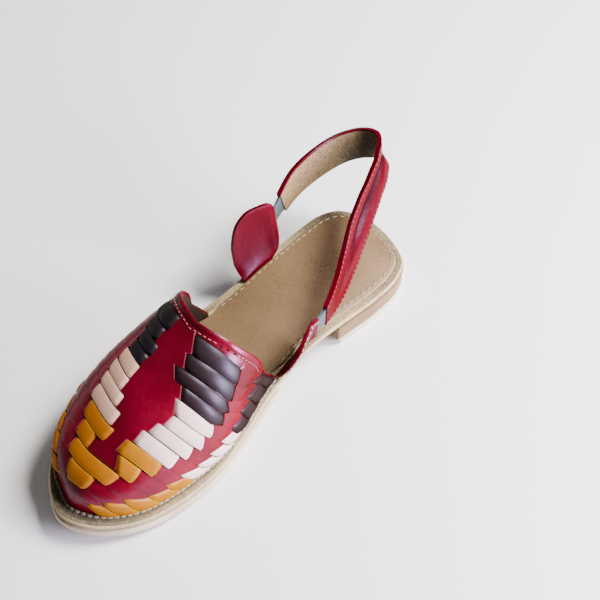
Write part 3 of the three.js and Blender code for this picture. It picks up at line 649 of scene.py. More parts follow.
# Deep colour, painted shade of the far lateral strips, then edge colour, roughness and gloss of each kind of strip
STRIP_LEATHERS = {
    "brown": ((0.009, 0.0065, 0.008), (0.004, 0.002, 0.002), 0.42, 0.32),
    "pink": ((0.55, 0.31, 0.21), (0.56, 0.34, 0.28), 0.5, 0.2),
    "mustard": ((0.31, 0.09, 0.0005), (0.72, 0.35, 0.01), 0.45, 0.2),
}
THREADS = {
    "throat thread": (0.60, 0.24, 0.23),
    "welt thread": (0.33, 0.26, 0.17),
    "footbed thread": (0.42, 0.33, 0.22),
    "strap thread": (0.36, 0.06, 0.09),
    "tab thread": (0.80, 0.50, 0.46),
}
# Near-black elastic with its bluish sheen painted into the colour: its own dark colour plus a painted reflection
SHEENED_SLATE = (0.075, 0.095, 0.105)
SHANK = (0.24, 0.12, 0.04)
# Painted shade in the slits, between and under the strips, and along the strap's crease
SLIT_SHADE_COLOUR = (0.006, 0.001, 0.002)
# Painted highlight along the leather's cut edges, where they catch the light
CUT_HIGHLIGHT_COLOUR = (0.42, 0.06, 0.10)
# Painted dirt and shade: dirt on the rim, shade in the rim's groove and on the strap's lining
DIRT_AND_SHADE_COLOUR = (0.095, 0.080, 0.045)
SOLE_SIDE = ((0.66, 0.56, 0.41), (0.44, 0.33, 0.21))
ROSE_SHINE = (1.0, 0.52, 0.90)
LILAC_SHINE = (0.82, 0.78, 1.0)
FULL_GLOSS, NO_GLOSS = 0.2, 0.6


class Look:
    """A material that is being built: its shader and its node tools."""

    def __init__(self, name):
        self.material = bpy.data.materials.new(name)
        self.material.use_nodes = True
        self.tree = self.material.node_tree
        self.shader = self.tree.nodes["Principled BSDF"]
        self.place = self.add("TexCoord").outputs["Object"]

    def fill(self, node, name, value):
        """Sets one input or setting of a node, or links an output to the input."""
        if isinstance(value, bpy.types.NodeSocket):
            self.tree.links.new(value, node.inputs[name])
        elif isinstance(name, int) or name in node.inputs:
            node.inputs[name].default_value = value
        else:
            setattr(node, name, value)

    def add(self, kind, **values):
        """A node with its settings and inputs."""
        node = self.tree.nodes.new("ShaderNode" + kind)
        for name, value in values.items():
            self.fill(node, name, value)
        return node

    def noise(self, scale, detail=3.0):
        """Noise on the piece's own coordinates, in metres."""
        return self.add("TexNoise", Scale=scale, Detail=detail, Vector=self.place).outputs["Fac"]

    def waves(self, scale, distortion, direction, place=None):
        """Bands of waves along a direction."""
        return self.add("TexWave", Scale=scale, Distortion=distortion, bands_direction=direction,
                        Vector=place or self.place).outputs["Fac"]

    def attribute(self, name):
        """A value that is painted on the piece."""
        return self.add("Attribute", attribute_name=name).outputs["Fac"]

    def ramp(self, source, low, high, to_low=0.0, to_high=1.0):
        """A value stretched so that low and high become two other values."""
        ends = {"From Min": low, "From Max": high, "To Min": to_low, "To Max": to_high}
        return self.add("MapRange", Value=source, **ends).outputs["Result"]

    def mix(self, factor, a, b, mode="MIX"):
        """Mixes two colours, each a socket or a colour."""
        node = self.add("Mix", data_type="RGBA", blend_type=mode)
        self.fill(node, 0, factor)
        for index, value in ((6, a), (7, b)):
            self.fill(node, index, value if isinstance(value, bpy.types.NodeSocket) else (*value[:3], 1))
        return node.outputs[2]

    def bump(self, height, strength, distance):
        """A bump on the shader, chained after one that is there."""
        node = self.add("Bump", Strength=strength, Distance=distance, Height=height)
        if self.shader.inputs["Normal"].is_linked:
            self.fill(node, "Normal", self.shader.inputs["Normal"].links[0].from_socket)
        self.fill(self.shader, "Normal", node.outputs["Normal"])

    def grain(self, size, depth):
        """Fine pores and soft creases of leather."""
        pores = self.add("TexVoronoi", Scale=1 / size, Vector=self.place)
        self.bump(pores.outputs["Distance"], 0.25, depth)
        self.bump(self.noise(1 / (6 * size)), 0.3, depth * 2)

    def gloss(self, level, tint):
        """Tinted gloss that is full where a surface faces the eye and fades where it turns away."""
        turned = self.add("LayerWeight", Blend=0.5).outputs["Facing"]
        faded = self.ramp(turned, FULL_GLOSS, NO_GLOSS, level, 0.01)
        self.fill(self.shader, "Specular IOR Level", faded)
        self.fill(self.shader, "Specular Tint", (*tint, 1))

    def not_underneath(self):
        """0 on faces that look down, 1 on all others."""
        normal = self.add("NewGeometry").outputs["Normal"]
        return self.ramp(self.add("SeparateXYZ", Vector=normal).outputs["Z"], -0.8, -0.5)

    def finish(self, tone, roughness):
        """The material with its colour and roughness."""
        self.fill(self.shader, "Base Color", tone)
        self.fill(self.shader, "Roughness", roughness)
        return self.material


def scaled(colour, factor):
    """A colour made darker or lighter."""
    return tuple(min(1.0, channel * factor) for channel in colour)


def waxed_leather(name, colour, deep, gloss=0.45, seam=True):
    """Dyed and waxed leather with deeper patches, painted shade in slits and creases, and painted highlights on
    cut edges.
    """
    look = Look(name)
    tone = look.mix(look.ramp(look.noise(38, 1.2), 0.34, 0.68), colour, deep)
    tone = look.mix(look.ramp(look.noise(500, 2), 0.45, 1.3), tone, scaled(deep, 0.9))
    if seam:
        # The cut attribute paints a highlight on cut edges, and the slit attribute paints shade in slits and
        # creases
        tone = look.mix(look.attribute("cut"), tone, CUT_HIGHLIGHT_COLOUR)
        tone = look.mix(look.attribute("slit"), tone, SLIT_SHADE_COLOUR)
    look.gloss(gloss, ROSE_SHINE)
    look.grain(0.0009, 0.00014)
    return look.finish(tone, look.ramp(look.noise(160), 0, 1, 0.19, 0.39))


def strip_leather(kind, colour):
    """Leather of a woven strip, deepened by its tone, painted shade on the far side plus random tone, with an
    edge.
    """
    deep, edge, roughness, gloss = STRIP_LEATHERS[kind]
    look = Look(kind + " strip leather")
    tone = look.mix(look.ramp(look.noise(130), 0.35, 0.7), colour, scaled(colour, 0.82))
    # Painted shade: strips with a high tone, on the far lateral side, turn to the deep colour
    tone = look.mix(look.attribute("tone"), tone, deep)
    tone = look.mix(look.ramp(look.attribute("rim"), 0.5, 1.6), tone, edge)
    look.gloss(gloss, LILAC_SHINE)
    look.grain(0.0007, 0.00012)
    return look.finish(tone, roughness)


def plain_leather(name, colour, deep, roughness, scale, under=None):
    """Undyed leather with stains and pores, and a colour of its own underneath."""
    look = Look(name)
    stains = look.ramp(look.noise(scale, 6), 0.38, 0.68)
    tone = look.mix(stains, colour, deep)
    tone = look.mix(look.ramp(look.noise(900, 2), 0.35, 0.7), tone, scaled(colour, 1.1))
    if under:
        shank = look.mix(stains, under, scaled(under, 0.72))
        tone = look.mix(look.not_underneath(), shank, tone)
    look.fill(look.shader, "Specular IOR Level", 0.25)
    look.grain(0.0006, 0.00015)
    return look.finish(tone, roughness)


def known_leather(name):
    """One of the plain leathers by its name."""
    return plain_leather(name, *PLAIN_LEATHERS[name])


def darkened_leather(name, colour):
    """Leather darkened where its soil attribute is high, with painted dirt and shade."""
    look = Look(name)
    rough = look.noise(420, 6)
    blotch = look.add("Math", operation="MULTIPLY_ADD")
    for index, value in enumerate((rough, 0.9, look.attribute("soil"))):
        look.fill(blotch, index, value)
    tone = look.mix(look.ramp(blotch.outputs[0], 0.5, 1.45), colour, DIRT_AND_SHADE_COLOUR)
    tone = look.mix(look.ramp(look.noise(1500, 2), 0.35, 0.7), tone, scaled(colour, 0.8), "MULTIPLY")
    look.bump(rough, 0.5, 0.0003)
    return look.finish(tone, 0.72)


def tread_leather(name, colour, deep):
    """Sole leather pressed with fine slanting rows of dots, and smooth on its side."""
    look = Look(name)
    dots = look.add("Math", operation="MULTIPLY")
    for index, turn in enumerate((38, -52)):
        slant = look.add("Mapping", Vector=look.place, Rotation=(0, 0, math.radians(turn)))
        look.fill(dots, index, look.waves(190, 0.4, "X", slant.outputs["Vector"]))
    dots = dots.outputs[0]
    stains = look.ramp(look.noise(28, 5), 0.35, 0.7)
    tone = look.mix(look.ramp(dots, 0.1, 0.9), scaled(deep, 0.78), look.mix(stains, colour, deep))
    tone = look.mix(look.not_underneath(), tone, look.mix(stains, *SOLE_SIDE))
    look.bump(dots, 0.35, 0.0002)
    return look.finish(tone, 0.62)


def thread_material(name, colour=None):
    """Waxed thread with a fine twist, in a colour or in the one that its name stands for."""
    look = Look(name)
    colour = colour or THREADS[name]
    tone = look.mix(look.waves(420, 1.0, "DIAGONAL"), scaled(colour, 0.72), colour)
    tone = look.mix(look.ramp(look.noise(90), 0.45, 0.75), tone, scaled(colour, 0.6))
    return look.finish(tone, 0.7)


def elastic_material(name, colour):
    """Ribbed elastic."""
    look = Look(name)
    ribs = look.waves(260, 0.3, "Z")
    look.bump(ribs, 0.5, 0.0003)
    return look.finish(look.mix(ribs, scaled(colour, 0.45), colour), 0.9)


# The upper

# A slit's rows beside a strip's end, as shares of the girth: over the strip, slit, cut edge, flat leather
SLIT_SHAPE = (-0.0050, 0.0, 0.0012, 0.0060)
ROWS_BETWEEN_SLITS = (3, 3, 5, 6, 4, 4, 3)
# Slits whose cut edge gets a painted highlight
CUT_EDGES = (2, 4)
SHARES_ACROSS = (0.0, 0.05, 0.14, 0.32, 0.5, 0.68, 0.86, 0.95)
THROAT_ROLL = ((0.0, 0.1), (0.06, 0.45), (0.3, 0.6), (0.8, 0.6), (1.0, 0.35), (1.15, 0.0))
TOE_SHARES = (0.0, 0.15, 0.3, 0.45, 0.6, 0.72, 0.82, 0.9, 0.95, 0.98, 0.995)
SUNK = -0.35
LEATHER_THICKNESS = 0.9
LINING_FACES = (-1.3, -2.0)
LINING_SETBACK = 0.6


def upper_rows(strip, share):
    """Rows of the leather round the girth at a share of a strip's width: girth, whether the strip shows there,
    painted shade at a slit, and whether it is a cut edge with a painted highlight."""
    ends = [strip_end(strip, name, share) for name in END_NAMES]
    crossing = strip in CROSSING_STRIPS
    hidden = strip == LAST_STRIP
    real = [True, not hidden, not (crossing or hidden), not (crossing or hidden), not hidden, True]
    shows = [True, False, not hidden, crossing, not hidden, False, True]
    rows = []
    start = 0.0
    for index, count in enumerate(ROWS_BETWEEN_SLITS):
        shown = shows[index]
        last = index == len(ends)
        end = 1.0 if last else ends[index] + (SLIT_SHAPE[0] if shown else -SLIT_SHAPE[3])
        shares = np.arange(count + 1) / count if index == 0 else (np.arange(count) + 0.5) / count
        rows.extend((blend(start, end, at), shown, 0.0, 0.0) for at in shares)
        if last:
            rows.append((1.0, shown, 0.0, 0.0))
            break
        shape = SLIT_SHAPE if shown else [-value for value in reversed(SLIT_SHAPE)]
        for place, offset in enumerate(shape):
            order = place if shown else 3 - place
            over = order <= 1 if real[index] else shown
            # slit is painted shade, darkest at the slit itself; cut marks a cut edge's painted highlight
            slit = (0.35, 1.0, 0.0, 0.0)[order] if real[index] else 0.0
            cut = float(real[index] and order == 2 and index in CUT_EDGES)
            rows.append((ends[index] + offset, over, slit, cut))
        start = ends[index] + shape[3]
    return rows


def swollen(girth, shown, height):
    """Lift of the leather: sunk where a strip shows, and swollen by a height where it hides one."""
    side = np.minimum(girth, 1 - girth)
    fade = np.clip(1 - (side - 0.24) * 7, 0.12, 1.0)
    return np.where(shown, SUNK, 0.05 + height * fade)


def upper_grid():
    """The leather's lines from the throat to the toe as grids of x, girth, lift, slit and cut; slit is painted
    shade, cut a painted highlight.
    """
    girth = np.array([row[0] for row in upper_rows(0, 0.0)])
    none = 0 * girth
    edge, first = throat_x(girth), weave_x(0, girth)
    lip = np.minimum(3.5, 0.4 * (first - edge))
    lines = [(edge + share * lip, girth, none + lift, none, none) for share, lift in THROAT_ROLL]
    lines.append((blend(edge + THROAT_ROLL[-1][0] * lip, first, 0.55), girth, none, none, none))
    for strip in range(LAST_STRIP + 1):
        for share in SHARES_ACROSS:
            rows = upper_rows(strip, share)
            if share == 0.0 and strip > 0:
                before = upper_rows(strip - 1, 1.0)
                rows = [((a[0] + b[0]) / 2, a[1] or b[1], max(a[2], b[2]) * 0.6, 0.0)
                        for a, b in zip(rows, before)]
            girth, shown, slit, cut = (np.array(values) for values in zip(*rows))
            dome = 1 - abs(2 * share - 1) ** 3.5
            # Painted shade on the leather under a shown strip, darkest in the gaps between strips
            shade = 0.9 if share == 0.0 else 0.55 if share in (0.05, 0.95) else 0.15
            lines.append((blend(weave_x(strip, girth), weave_x(strip + 1, girth), share), girth,
                          swollen(girth, shown, sizes().leather_swell * dome),
                          np.where(shown, np.maximum(slit, shade), slit), cut))
    girth = np.array([row[0] for row in upper_rows(LAST_STRIP, 1.0)])
    for share in TOE_SHARES:
        lines.append((blend(weave_x(LAST_STRIP + 1, girth), TOE_END, share), girth, none, none, none))
    return [np.array(values) for values in zip(*lines)]


def wall_with_tip(name, outer, inner, inset):
    """A wall whose last line closes at the toe's tip."""
    tip = np.tile([TOE_END, TOE_Y, upper_foot(TOE_END)], (1, outer.shape[1], 1))
    return wall_from_grids(name, np.concatenate([outer, tip]), np.concatenate([inner, tip - [inset, 0, 0]]))


def paint(piece, name, values):
    """A float attribute on a piece's corners."""
    attribute = piece.data.attributes.new(name, "FLOAT", "POINT")
    attribute.data.foreach_set("value", np.asarray(values, dtype=np.float32))


def paint_from_grid(piece, grid, values_by_name):
    """Attributes from the nearest point of a grid."""
    flat = to_frame(grid.reshape(-1, 3))
    tree = KDTree(len(flat))
    for index, point in enumerate(flat):
        tree.insert(point, index)
    tree.balance()
    nearest = [tree.find(vertex.co)[1] for vertex in piece.data.vertices]
    for name, values in values_by_name.items():
        paint(piece, name, np.asarray(values).ravel()[nearest])


class SANDAL_OT_upper(bpy.types.Operator):
    """Makes the red leather of the upper, slit for the weave, and its lining"""
    bl_idname = "sandal.upper"
    bl_label = "Upper"
    bl_options = {"REGISTER", "UNDO"}

    def execute(self, context):
        x, girth, lift, slit, cut = upper_grid()
        outer = upper_point(x, girth, lift)
        inner = upper_point(x, girth, np.minimum(lift, 0) - LEATHER_THICKNESS)
        leather = wall_with_tip("upper_leather", outer, inner, LEATHER_THICKNESS)
        # slit carries painted shade and cut a painted highlight
        paint_from_grid(leather, np.concatenate([outer, inner]),
                        {"slit": np.concatenate([slit, slit * 0]), "cut": np.concatenate([cut, cut * 0])})
        smooth(leather, 50)
        red = waxed_leather("red waxed leather", colours().leather, colours().leather_deep)
        finish_piece(leather, red, ["woven_upper"])

        # Each third line and row is enough for the lining
        kept = [*range(0, girth.shape[1], 3), -1]
        girth = girth[::3, kept]
        x = np.maximum(x[::3, kept], throat_x(girth) + LINING_SETBACK)
        faces = [upper_point(x, girth, depth) for depth in LINING_FACES]
        lining = wall_with_tip("upper_lining", *faces, -LINING_FACES[1])
        smooth(lining, 40)
        finish_piece(lining, known_leather("upper lining"))
        return {"FINISHED"}


# The woven strips

ACROSS_COUNT, ALONG_COUNT = 11, 24
TUCK = 1.6
FAR = 20.0
FRONT_LEAF, SOFT_STRIP, FLAT_STRIP = (1.6, 0.2), (1.9, 0.6), (0.7, 0.5)


def strip_patch(strip, low, high, tucked_low, tucked_high, tone, rng):
    """One woven strip between two girth shares, arched over the leather, with its ends tucked in and their
    corners rounded."""
    lift = sizes().strip_lift * rng.uniform(0.92, 1.06)
    middle_girth = (low[0] + high[0]) / 2
    middle_x = float(weave_x(strip, middle_girth))
    width = float(weave_x(strip + 1, middle_girth)) - middle_x
    tuck = TUCK / float(girth_length(middle_x))
    leaf = not (tucked_low and tucked_high)
    inset = sizes().strip_gap * (0.85 if leaf else 0.55) / max(width, 4.0)
    soft = strip in BROWN_STRIPS
    front_corner, back_corner = FRONT_LEAF if leaf else SOFT_STRIP if soft else FLAT_STRIP
    fall = 0.5 if soft else 0.3
    grid = np.empty((ACROSS_COUNT, ALONG_COUNT, 3))
    rim = np.empty((ACROSS_COUNT, ALONG_COUNT))
    wave = rng.uniform(-1, 1, 4)
    ease = np.linspace(0, 1, ALONG_COUNT)
    ease = blend(ease, (1 - np.cos(math.pi * ease)) / 2, 0.55)
    swell = 1 + 0.12 * np.sin(2 * math.pi * ease + 3 * wave[2])
    for row, share in enumerate(np.linspace(0, 1, ACROSS_COUNT)):
        start = blend(*low, share) - (tuck if tucked_low else 0)
        end = blend(*high, share) + (tuck if tucked_high else 0)
        girth = blend(start, end, ease)
        x = blend(weave_x(strip, girth), weave_x(strip + 1, girth), blend(inset, 1 - inset, share))
        x = x + 0.18 * wave[0] * np.sin(math.pi * ease + wave[1])
        run = girth_length(x)
        corner = front_corner * smoothstep(share, 0.78, 1.0) + back_corner * smoothstep(1 - share, 0.86, 1.0)
        from_low = (girth - start) * run - corner if tucked_low else FAR
        from_high = (end - girth) * run - corner if tucked_high else FAR
        near = np.minimum(from_low, from_high)
        arch = lift * (1 - fall * abs(2 * share - 1) ** 2.6)
        grid[row] = upper_point(x, girth, blend(-0.85, arch * swell, smoothstep(near, -0.2, 3.6)))
        rim[row] = np.maximum(abs(2 * share - 1) ** 6, 1 - smoothstep(near, 1.2, 2.6))
    piece = sheet_from_grid("strip", grid)
    paint(piece, "rim", rim.ravel())
    # The tone is painted shade for the far side's strips, with a little random tone added
    paint(piece, "tone", np.full(rim.size, tone + rng.uniform(0, 0.2)))
    modify(piece, "SOLIDIFY", thickness=0.0008, offset=-1)
    return piece


class SANDAL_OT_strips(bpy.types.Operator):
    """Weaves the brown, pink and mustard strips through the slits"""
    bl_idname = "sandal.strips"
    bl_label = "Woven Strips"
    bl_options = {"REGISTER", "UNDO"}

    def execute(self, context):
        rng = np.random.default_rng(sizes().seed)
        groups = {"brown": [], "pink": [], "mustard": []}
        for strip in range(LAST_STRIP + 1):
            colour = "brown" if strip in BROWN_STRIPS else "pink" if strip in PINK_STRIPS else "mustard"
            edge, outer, inner, far_in, far_out, far_edge = (
                (STRIP_ENDS[name + "_b"][strip], STRIP_ENDS[name + "_f"][strip]) for name in END_NAMES)
            # The last number of each span is its tone; the high tones of the far lateral strips are painted shade
            spans = [((0.0, 0.0), edge, False, True, 0.0), (far_edge, (1.0, 1.0), True, False, 0.8)]
            if strip in CROSSING_STRIPS:
                spans.append((outer, far_out, True, True, 0.5))
            elif strip != LAST_STRIP:
                spans.append((outer, inner, True, True, 0.05))
                spans.append((far_in, far_out, True, True, 0.75))
            groups[colour].extend(strip_patch(strip, *span, rng) for span in spans)
        for colour, patches in groups.items():
            piece = join(patches, "strips_" + colour)
            smooth(piece, 55)
            leather = strip_leather(colour, getattr(colours(), colour + "_strip"))
            finish_piece(piece, leather, ["woven_upper"])
        return {"FINISHED"}


# Seams

# Pitch, length and thickness of the stitches of each kind of seam, in millimetres
STITCHES = {
    "throat": (2.9, 2.1, 0.4),
    "welt": (3.3, 3.9, 1.7),
    "footbed": (4.6, 3.4, 0.7),
    "bottom": (6.6, 5.6, 1.0),
    "strap": (3.2, 2.0, 0.4),
    "tab": (3.2, 2.3, 0.6),
}


def ball(segments, rings, size):
    """Corners in millimetres and faces of a ball that is stretched to a size."""
    deselect()
    bpy.ops.mesh.primitive_uv_sphere_add(segments=segments, ring_count=rings, radius=0.5)
    model = bpy.context.object
    edit_all(model)
    bpy.ops.transform.resize(value=[length / 1000 for length in size])
    bpy.ops.object.mode_set(mode="OBJECT")
    shape = np.array([vertex.co[:] for vertex in model.data.vertices]) * 1000
    faces = [tuple(polygon.vertices) for polygon in model.data.polygons]
    bpy.data.objects.remove(model)
    return shape, faces


def joined_copies(name, copies, faces):
    """One mesh from copies of a shape, each with corners of its own, in millimetres."""
    sides = [tuple(number * len(copy) + corner for corner in face)
             for number, copy in enumerate(copies) for face in faces]
    piece = make_mesh(name, np.vstack(copies), sides)
    smooth(piece, 80)
    return piece


def stitch_run(name, points, ups, kind, rng, bare=(2, 2)):
    """A row of stitches along a line of points, each copied from one rounded stitch. bare is a part of the line
    without stitches, as shares of its length."""
    pitch, length, thickness = STITCHES[kind]
    shape, faces = ball(8, 5, (length, thickness, thickness * 0.75))
    shape[:, 0] = np.sign(shape[:, 0]) * (np.abs(shape[:, 0]) / (length / 2)) ** 0.7 * length / 2
    reach = reach_along(points)
    count = int(reach[-1] / pitch)
    copies = []
    for index in range(count):
        at = (index + 0.5) * reach[-1] / count
        if bare[0] < at / reach[-1] < bare[1]:
            continue
        ahead = unit(read_line(points, reach, min(at + 1, reach[-1])) - read_line(points, reach, max(at - 1, 0)))
        side = unit(np.cross(read_line(ups, reach, at), ahead))
        up = np.cross(ahead, side)
        turn = rng.normal(0, 0.07)
        ahead, side = (math.cos(turn) * ahead + math.sin(turn) * side,
                       math.cos(turn) * side - math.sin(turn) * ahead)
        stretch = rng.uniform(0.88, 1.06)
        copies.append(read_line(points, reach, at) + shape @ np.array([stretch * ahead, side, up]))
    return joined_copies(name, copies, faces)


def channel(name, points, ups, width, lift=0.06):
    """A thin dark band laid on a surface, painted shade that stands for the groove of a stitching channel."""
    side = unit(np.cross(ups, np.gradient(points, axis=0)))
    profile = ((-0.5, -lift), (-0.25, lift), (0.25, lift), (0.5, -lift))
    grid = [points + side * width * across + ups * rise for across, rise in profile]
    piece = sheet_from_grid(name, np.stack(grid))
    smooth(piece, 60)
    return piece


SEAM_ENDS = (0.175, 0.825)
BARE_SEAM = (0.312, 0.392)
HOLES = (0.325, 0.351, 0.376)
HOLE_WIDTH = 1.24


class SANDAL_OT_throat_seam(bpy.types.Operator):
    """Sews the row of stitches along the throat, with the needle holes as dark discs of painted shade"""
    bl_idname = "sandal.throat_seam"
    bl_label = "Throat Seam"
    bl_options = {"REGISTER", "UNDO"}

    def execute(self, context):
        rng = np.random.default_rng(sizes().seed + 1)
        girth = np.linspace(*SEAM_ENDS, 240)
        x = throat_x(girth) + sizes().seam_inset
        points = upper_point(x, girth, 0.42)
        ups = upper_point(x, girth, 1.4) - points
        reach = reach_along(points)
        bare = np.interp(BARE_SEAM, girth, reach) / reach[-1]
        row = stitch_run("throat_stitches", points, ups, "throat", rng, bare)
        finish_piece(row, thread_material("throat thread"))
        # The holes are flattened near-black balls, painted shade where the needle went through
        shape, faces = ball(10, 6, [HOLE_WIDTH] * 3)
        copies = []
        for at in HOLES:
            up = unit(read_line(ups, girth, at))
            copies.append(read_line(points, girth, at) + up * 0.1 + shape - np.outer(shape @ up, up) * 0.72)
        holes = joined_copies("needle_holes", copies, faces)
        finish_piece(holes, known_leather("needle hole"))
        return {"FINISHED"}


# The sole

def dressed_copy(node, name):
    """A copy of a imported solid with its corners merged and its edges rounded."""
    deselect()
    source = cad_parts[node]
    piece = source.copy()
    piece.data = source.data.copy()
    piece.name = name
    bpy.context.collection.objects.link(piece)
    world = source.matrix_world.copy()
    piece.parent = None
    piece.matrix_world = world
    pick(piece)
    bpy.ops.object.transform_apply(location=True, rotation=True, scale=True)
    edit_all(piece)
    bpy.ops.mesh.remove_doubles(threshold=0.00001)
    bpy.ops.mesh.dissolve_limited(angle_limit=math.radians(1.0))
    bpy.ops.object.mode_set(mode="OBJECT")
    modify(piece, "BEVEL", width=sizes().edge_rounding / 1000, segments=2, limit_method="ANGLE",
           angle_limit=math.radians(28))
    smooth(piece, 40)
    return piece


class SANDAL_OT_sole(bpy.types.Operator):
    """Dresses the outsole, heel, midsole and footbed in leather"""
    bl_idname = "sandal.sole"
    bl_label = "Sole"
    bl_options = {"REGISTER", "UNDO"}

    def execute(self, context):
        tint = colours()
        tread = tread_leather("tread leather", tint.sole, scaled(tint.sole, 0.72))
        rim = plain_leather("rim leather", tint.rim, scaled(tint.rim, 0.55), 0.6, 90, SHANK)
        for node, material, slot in (
                ("forefoot_outsole", tread, "sole_tan"),
                ("heel_lift", tread, "sole_tan"),
                ("heel_block", known_leather("heel leather"), "heel_tan"),
                ("midsole", rim, "rim_tan"),
                ("insole", known_leather("footbed leather"), "footbed_tan")):
            finish_piece(dressed_copy(node, node + "_leather"), material, [node])
        return {"FINISHED"}


# Distance of the bottom seam from the sole's edge, in millimetres, at shares of the sole's length
BOTTOM_SEAM = columns("along medial lateral", [
    (0.0, 8.8, 8.8),
    (0.2, 8.2, 9.0),
    (0.35, 5.8, 9.0),
    (0.47, 5.2, 8.6),
    (0.6, 6.2, 7.2),
    (0.8, 6.6, 6.6),
    (1.0, 7.2, 7.2),
])
SOLE_NODES = ("forefoot_outsole", "midsole", "heel_block", "heel_lift")
LEVEL_STEP = 0.6
FEWEST_PLACES = 8
CHANNEL_WIDTH = 1.5
FOOTBED_SEAM = 7.9
WELT_SEAM = 1.1
RIM_COVER = (0.2, 2.1)


def ring_inside(inset, count=700):
    """The whole line at a distance inside the sole's edge, at even shares of its ring, from the back."""
    ring = line_inside(inset)["ring"]
    closed = np.vstack([ring, ring[:1]])
    return read_line(closed, np.arange(len(closed)), np.linspace(0, 1, count) % 1.0 * len(ring))


def bottom_heights(places):
    """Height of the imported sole's underside at places seen from above, in millimetres."""
    trees = []
    for node in SOLE_NODES:
        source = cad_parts[node]
        corners = [source.matrix_world @ vertex.co for vertex in source.data.vertices]
        faces = [tuple(polygon.vertices) for polygon in source.data.polygons]
        trees.append(BVHTree.FromPolygons(corners, faces))
    heights = []
    for x, y in places:
        below = Vector(to_frame([x, y, -20.0]))
        hits = [tree.ray_cast(below, Vector((0, 0, 1))) for tree in trees]
        heights.append(min(hit[0].z for hit in hits if hit[0] is not None) * 1000)
    return heights


def rim_sheet():
    """The rim's top, from the upper's foot to the rounded edge, with painted shade and painted dirt."""
    grid, soil = [], []
    for share in np.linspace(0, 1, 9):
        def inset(along, medial, share=share):
            return blend(rim_inset(along, medial) + RIM_COVER[0], RIM_COVER[1], share)
        flat = ring_inside(inset)
        x = flat[:, 0]
        grid.append(np.column_stack([flat, rim_top(x) + 0.12 * math.sin(math.pi * share) ** 0.3 - 0.02]))
        # From the ball forward a darker streak runs along the groove beside the welt, painted shade, with a
        # fainter one at the edge; painted dirt darkens the toe and heel
        toe = smoothstep(x, 0.8 * SOLE_LENGTH, 0.93 * SOLE_LENGTH)
        ball_part = smoothstep(x, VAMP_BACK - 12, VAMP_BACK + 4)
        heel = 1 - smoothstep(x, 0.12 * SOLE_LENGTH, 0.24 * SOLE_LENGTH)
        streak = math.exp(-((share - 0.46) / 0.2) ** 2) + 0.35 * math.exp(-((share - 1.0) / 0.1) ** 2)
        soil.append(np.clip(ball_part * (0.12 + 0.8 * streak) + toe * 0.6 + heel * 0.55, 0, 1))
    piece = sheet_from_grid("rim_top", np.array(grid))
    paint(piece, "soil", np.array(soil).ravel())
    merge_corners(piece, 0.000001)
    smooth(piece, 60)
    return piece


def level_stitches(kind, flat, height, rng):
    """A row of stitches on a level surface, along a line seen from above."""
    ups = np.tile([0.0, 0.0, 1.0], (len(flat), 1))
    return stitch_run(kind + "_stitches", np.column_stack([flat, height]), ups, kind, rng)


def sew_bottom(rng):
    """The stitches of the underside and the channel that they lie in, broken where the sole has a step."""
    flat = ring_inside(lambda along, medial: by_side(BOTTOM_SEAM, along, medial))
    flat = np.vstack([flat, flat[:3]])
    points = np.column_stack([flat, bottom_heights(flat)])
    steps = np.flatnonzero(np.abs(np.diff(points[:, 2])) > LEVEL_STEP) + 1
    rows, beds = [], []
    for run in np.split(points, steps):
        if len(run) < FEWEST_PLACES:
            continue
        down = np.tile([0.0, 0.0, -1.0], (len(run), 1))
        rows.append(stitch_run("row", run + [0, 0, 0.2], down, "bottom", rng))
        beds.append(channel("bed", run, down, CHANNEL_WIDTH))
    return join(rows, "bottom_stitches"), join(beds, "bottom_channel")


class SANDAL_OT_sole_seams(bpy.types.Operator):
    """Sews the rim and the underside of the sole"""
    bl_idname = "sandal.sole_seams"
    bl_label = "Sole Seams"
    bl_options = {"REGISTER", "UNDO"}

    def execute(self, context):
        rng = np.random.default_rng(sizes().seed + 2)
        flat = ring_inside(lambda along, medial: rim_inset(along, medial) - WELT_SEAM)
        flat = flat[flat[:, 0] > VAMP_BACK + 0.5]
        row = level_stitches("welt", flat, rim_top(flat[:, 0]) + 0.4, rng)
        finish_piece(row, thread_material("welt thread"))
        finish_piece(rim_sheet(), darkened_leather("worn rim", colours().rim))

        flat = ring_inside(FOOTBED_SEAM)
        flat = np.roll(flat, -int(np.argmax(flat[:, 0])), axis=0)
        flat = flat[flat[:, 0] < VAMP_BACK - 6]
        row = level_stitches("footbed", flat, upper_foot(flat[:, 0]) + INSOLE_THICKNESS, rng)
        finish_piece(row, thread_material("footbed thread"))

        row, bed = sew_bottom(rng)
        finish_piece(row, thread_material("sole thread", colours().thread))
        finish_piece(bed, known_leather("bottom channel"))
        return {"FINISHED"}


# The strap

STRAP_LINE, STRAP_AHEAD, STRAP_ROWS = smooth_curve(np.column_stack([
    STRAP_PATH["along"] * SOLE_LENGTH, STRAP_PATH["across"] * HEEL_WIDTH, STRAP_PATH["up"] * STRAP_HEIGHT,
]), closed=False, steps=60)
STRAP_REACH = reach_along(STRAP_LINE)
ELASTIC_SHARE = (ELASTIC_LENGTH + 2 * GAP) / STRAP_REACH[-1]
CREASE_DEPTH = 1.8
WEB_THICKNESS = 1.4
WEB_TUCK = 1.6


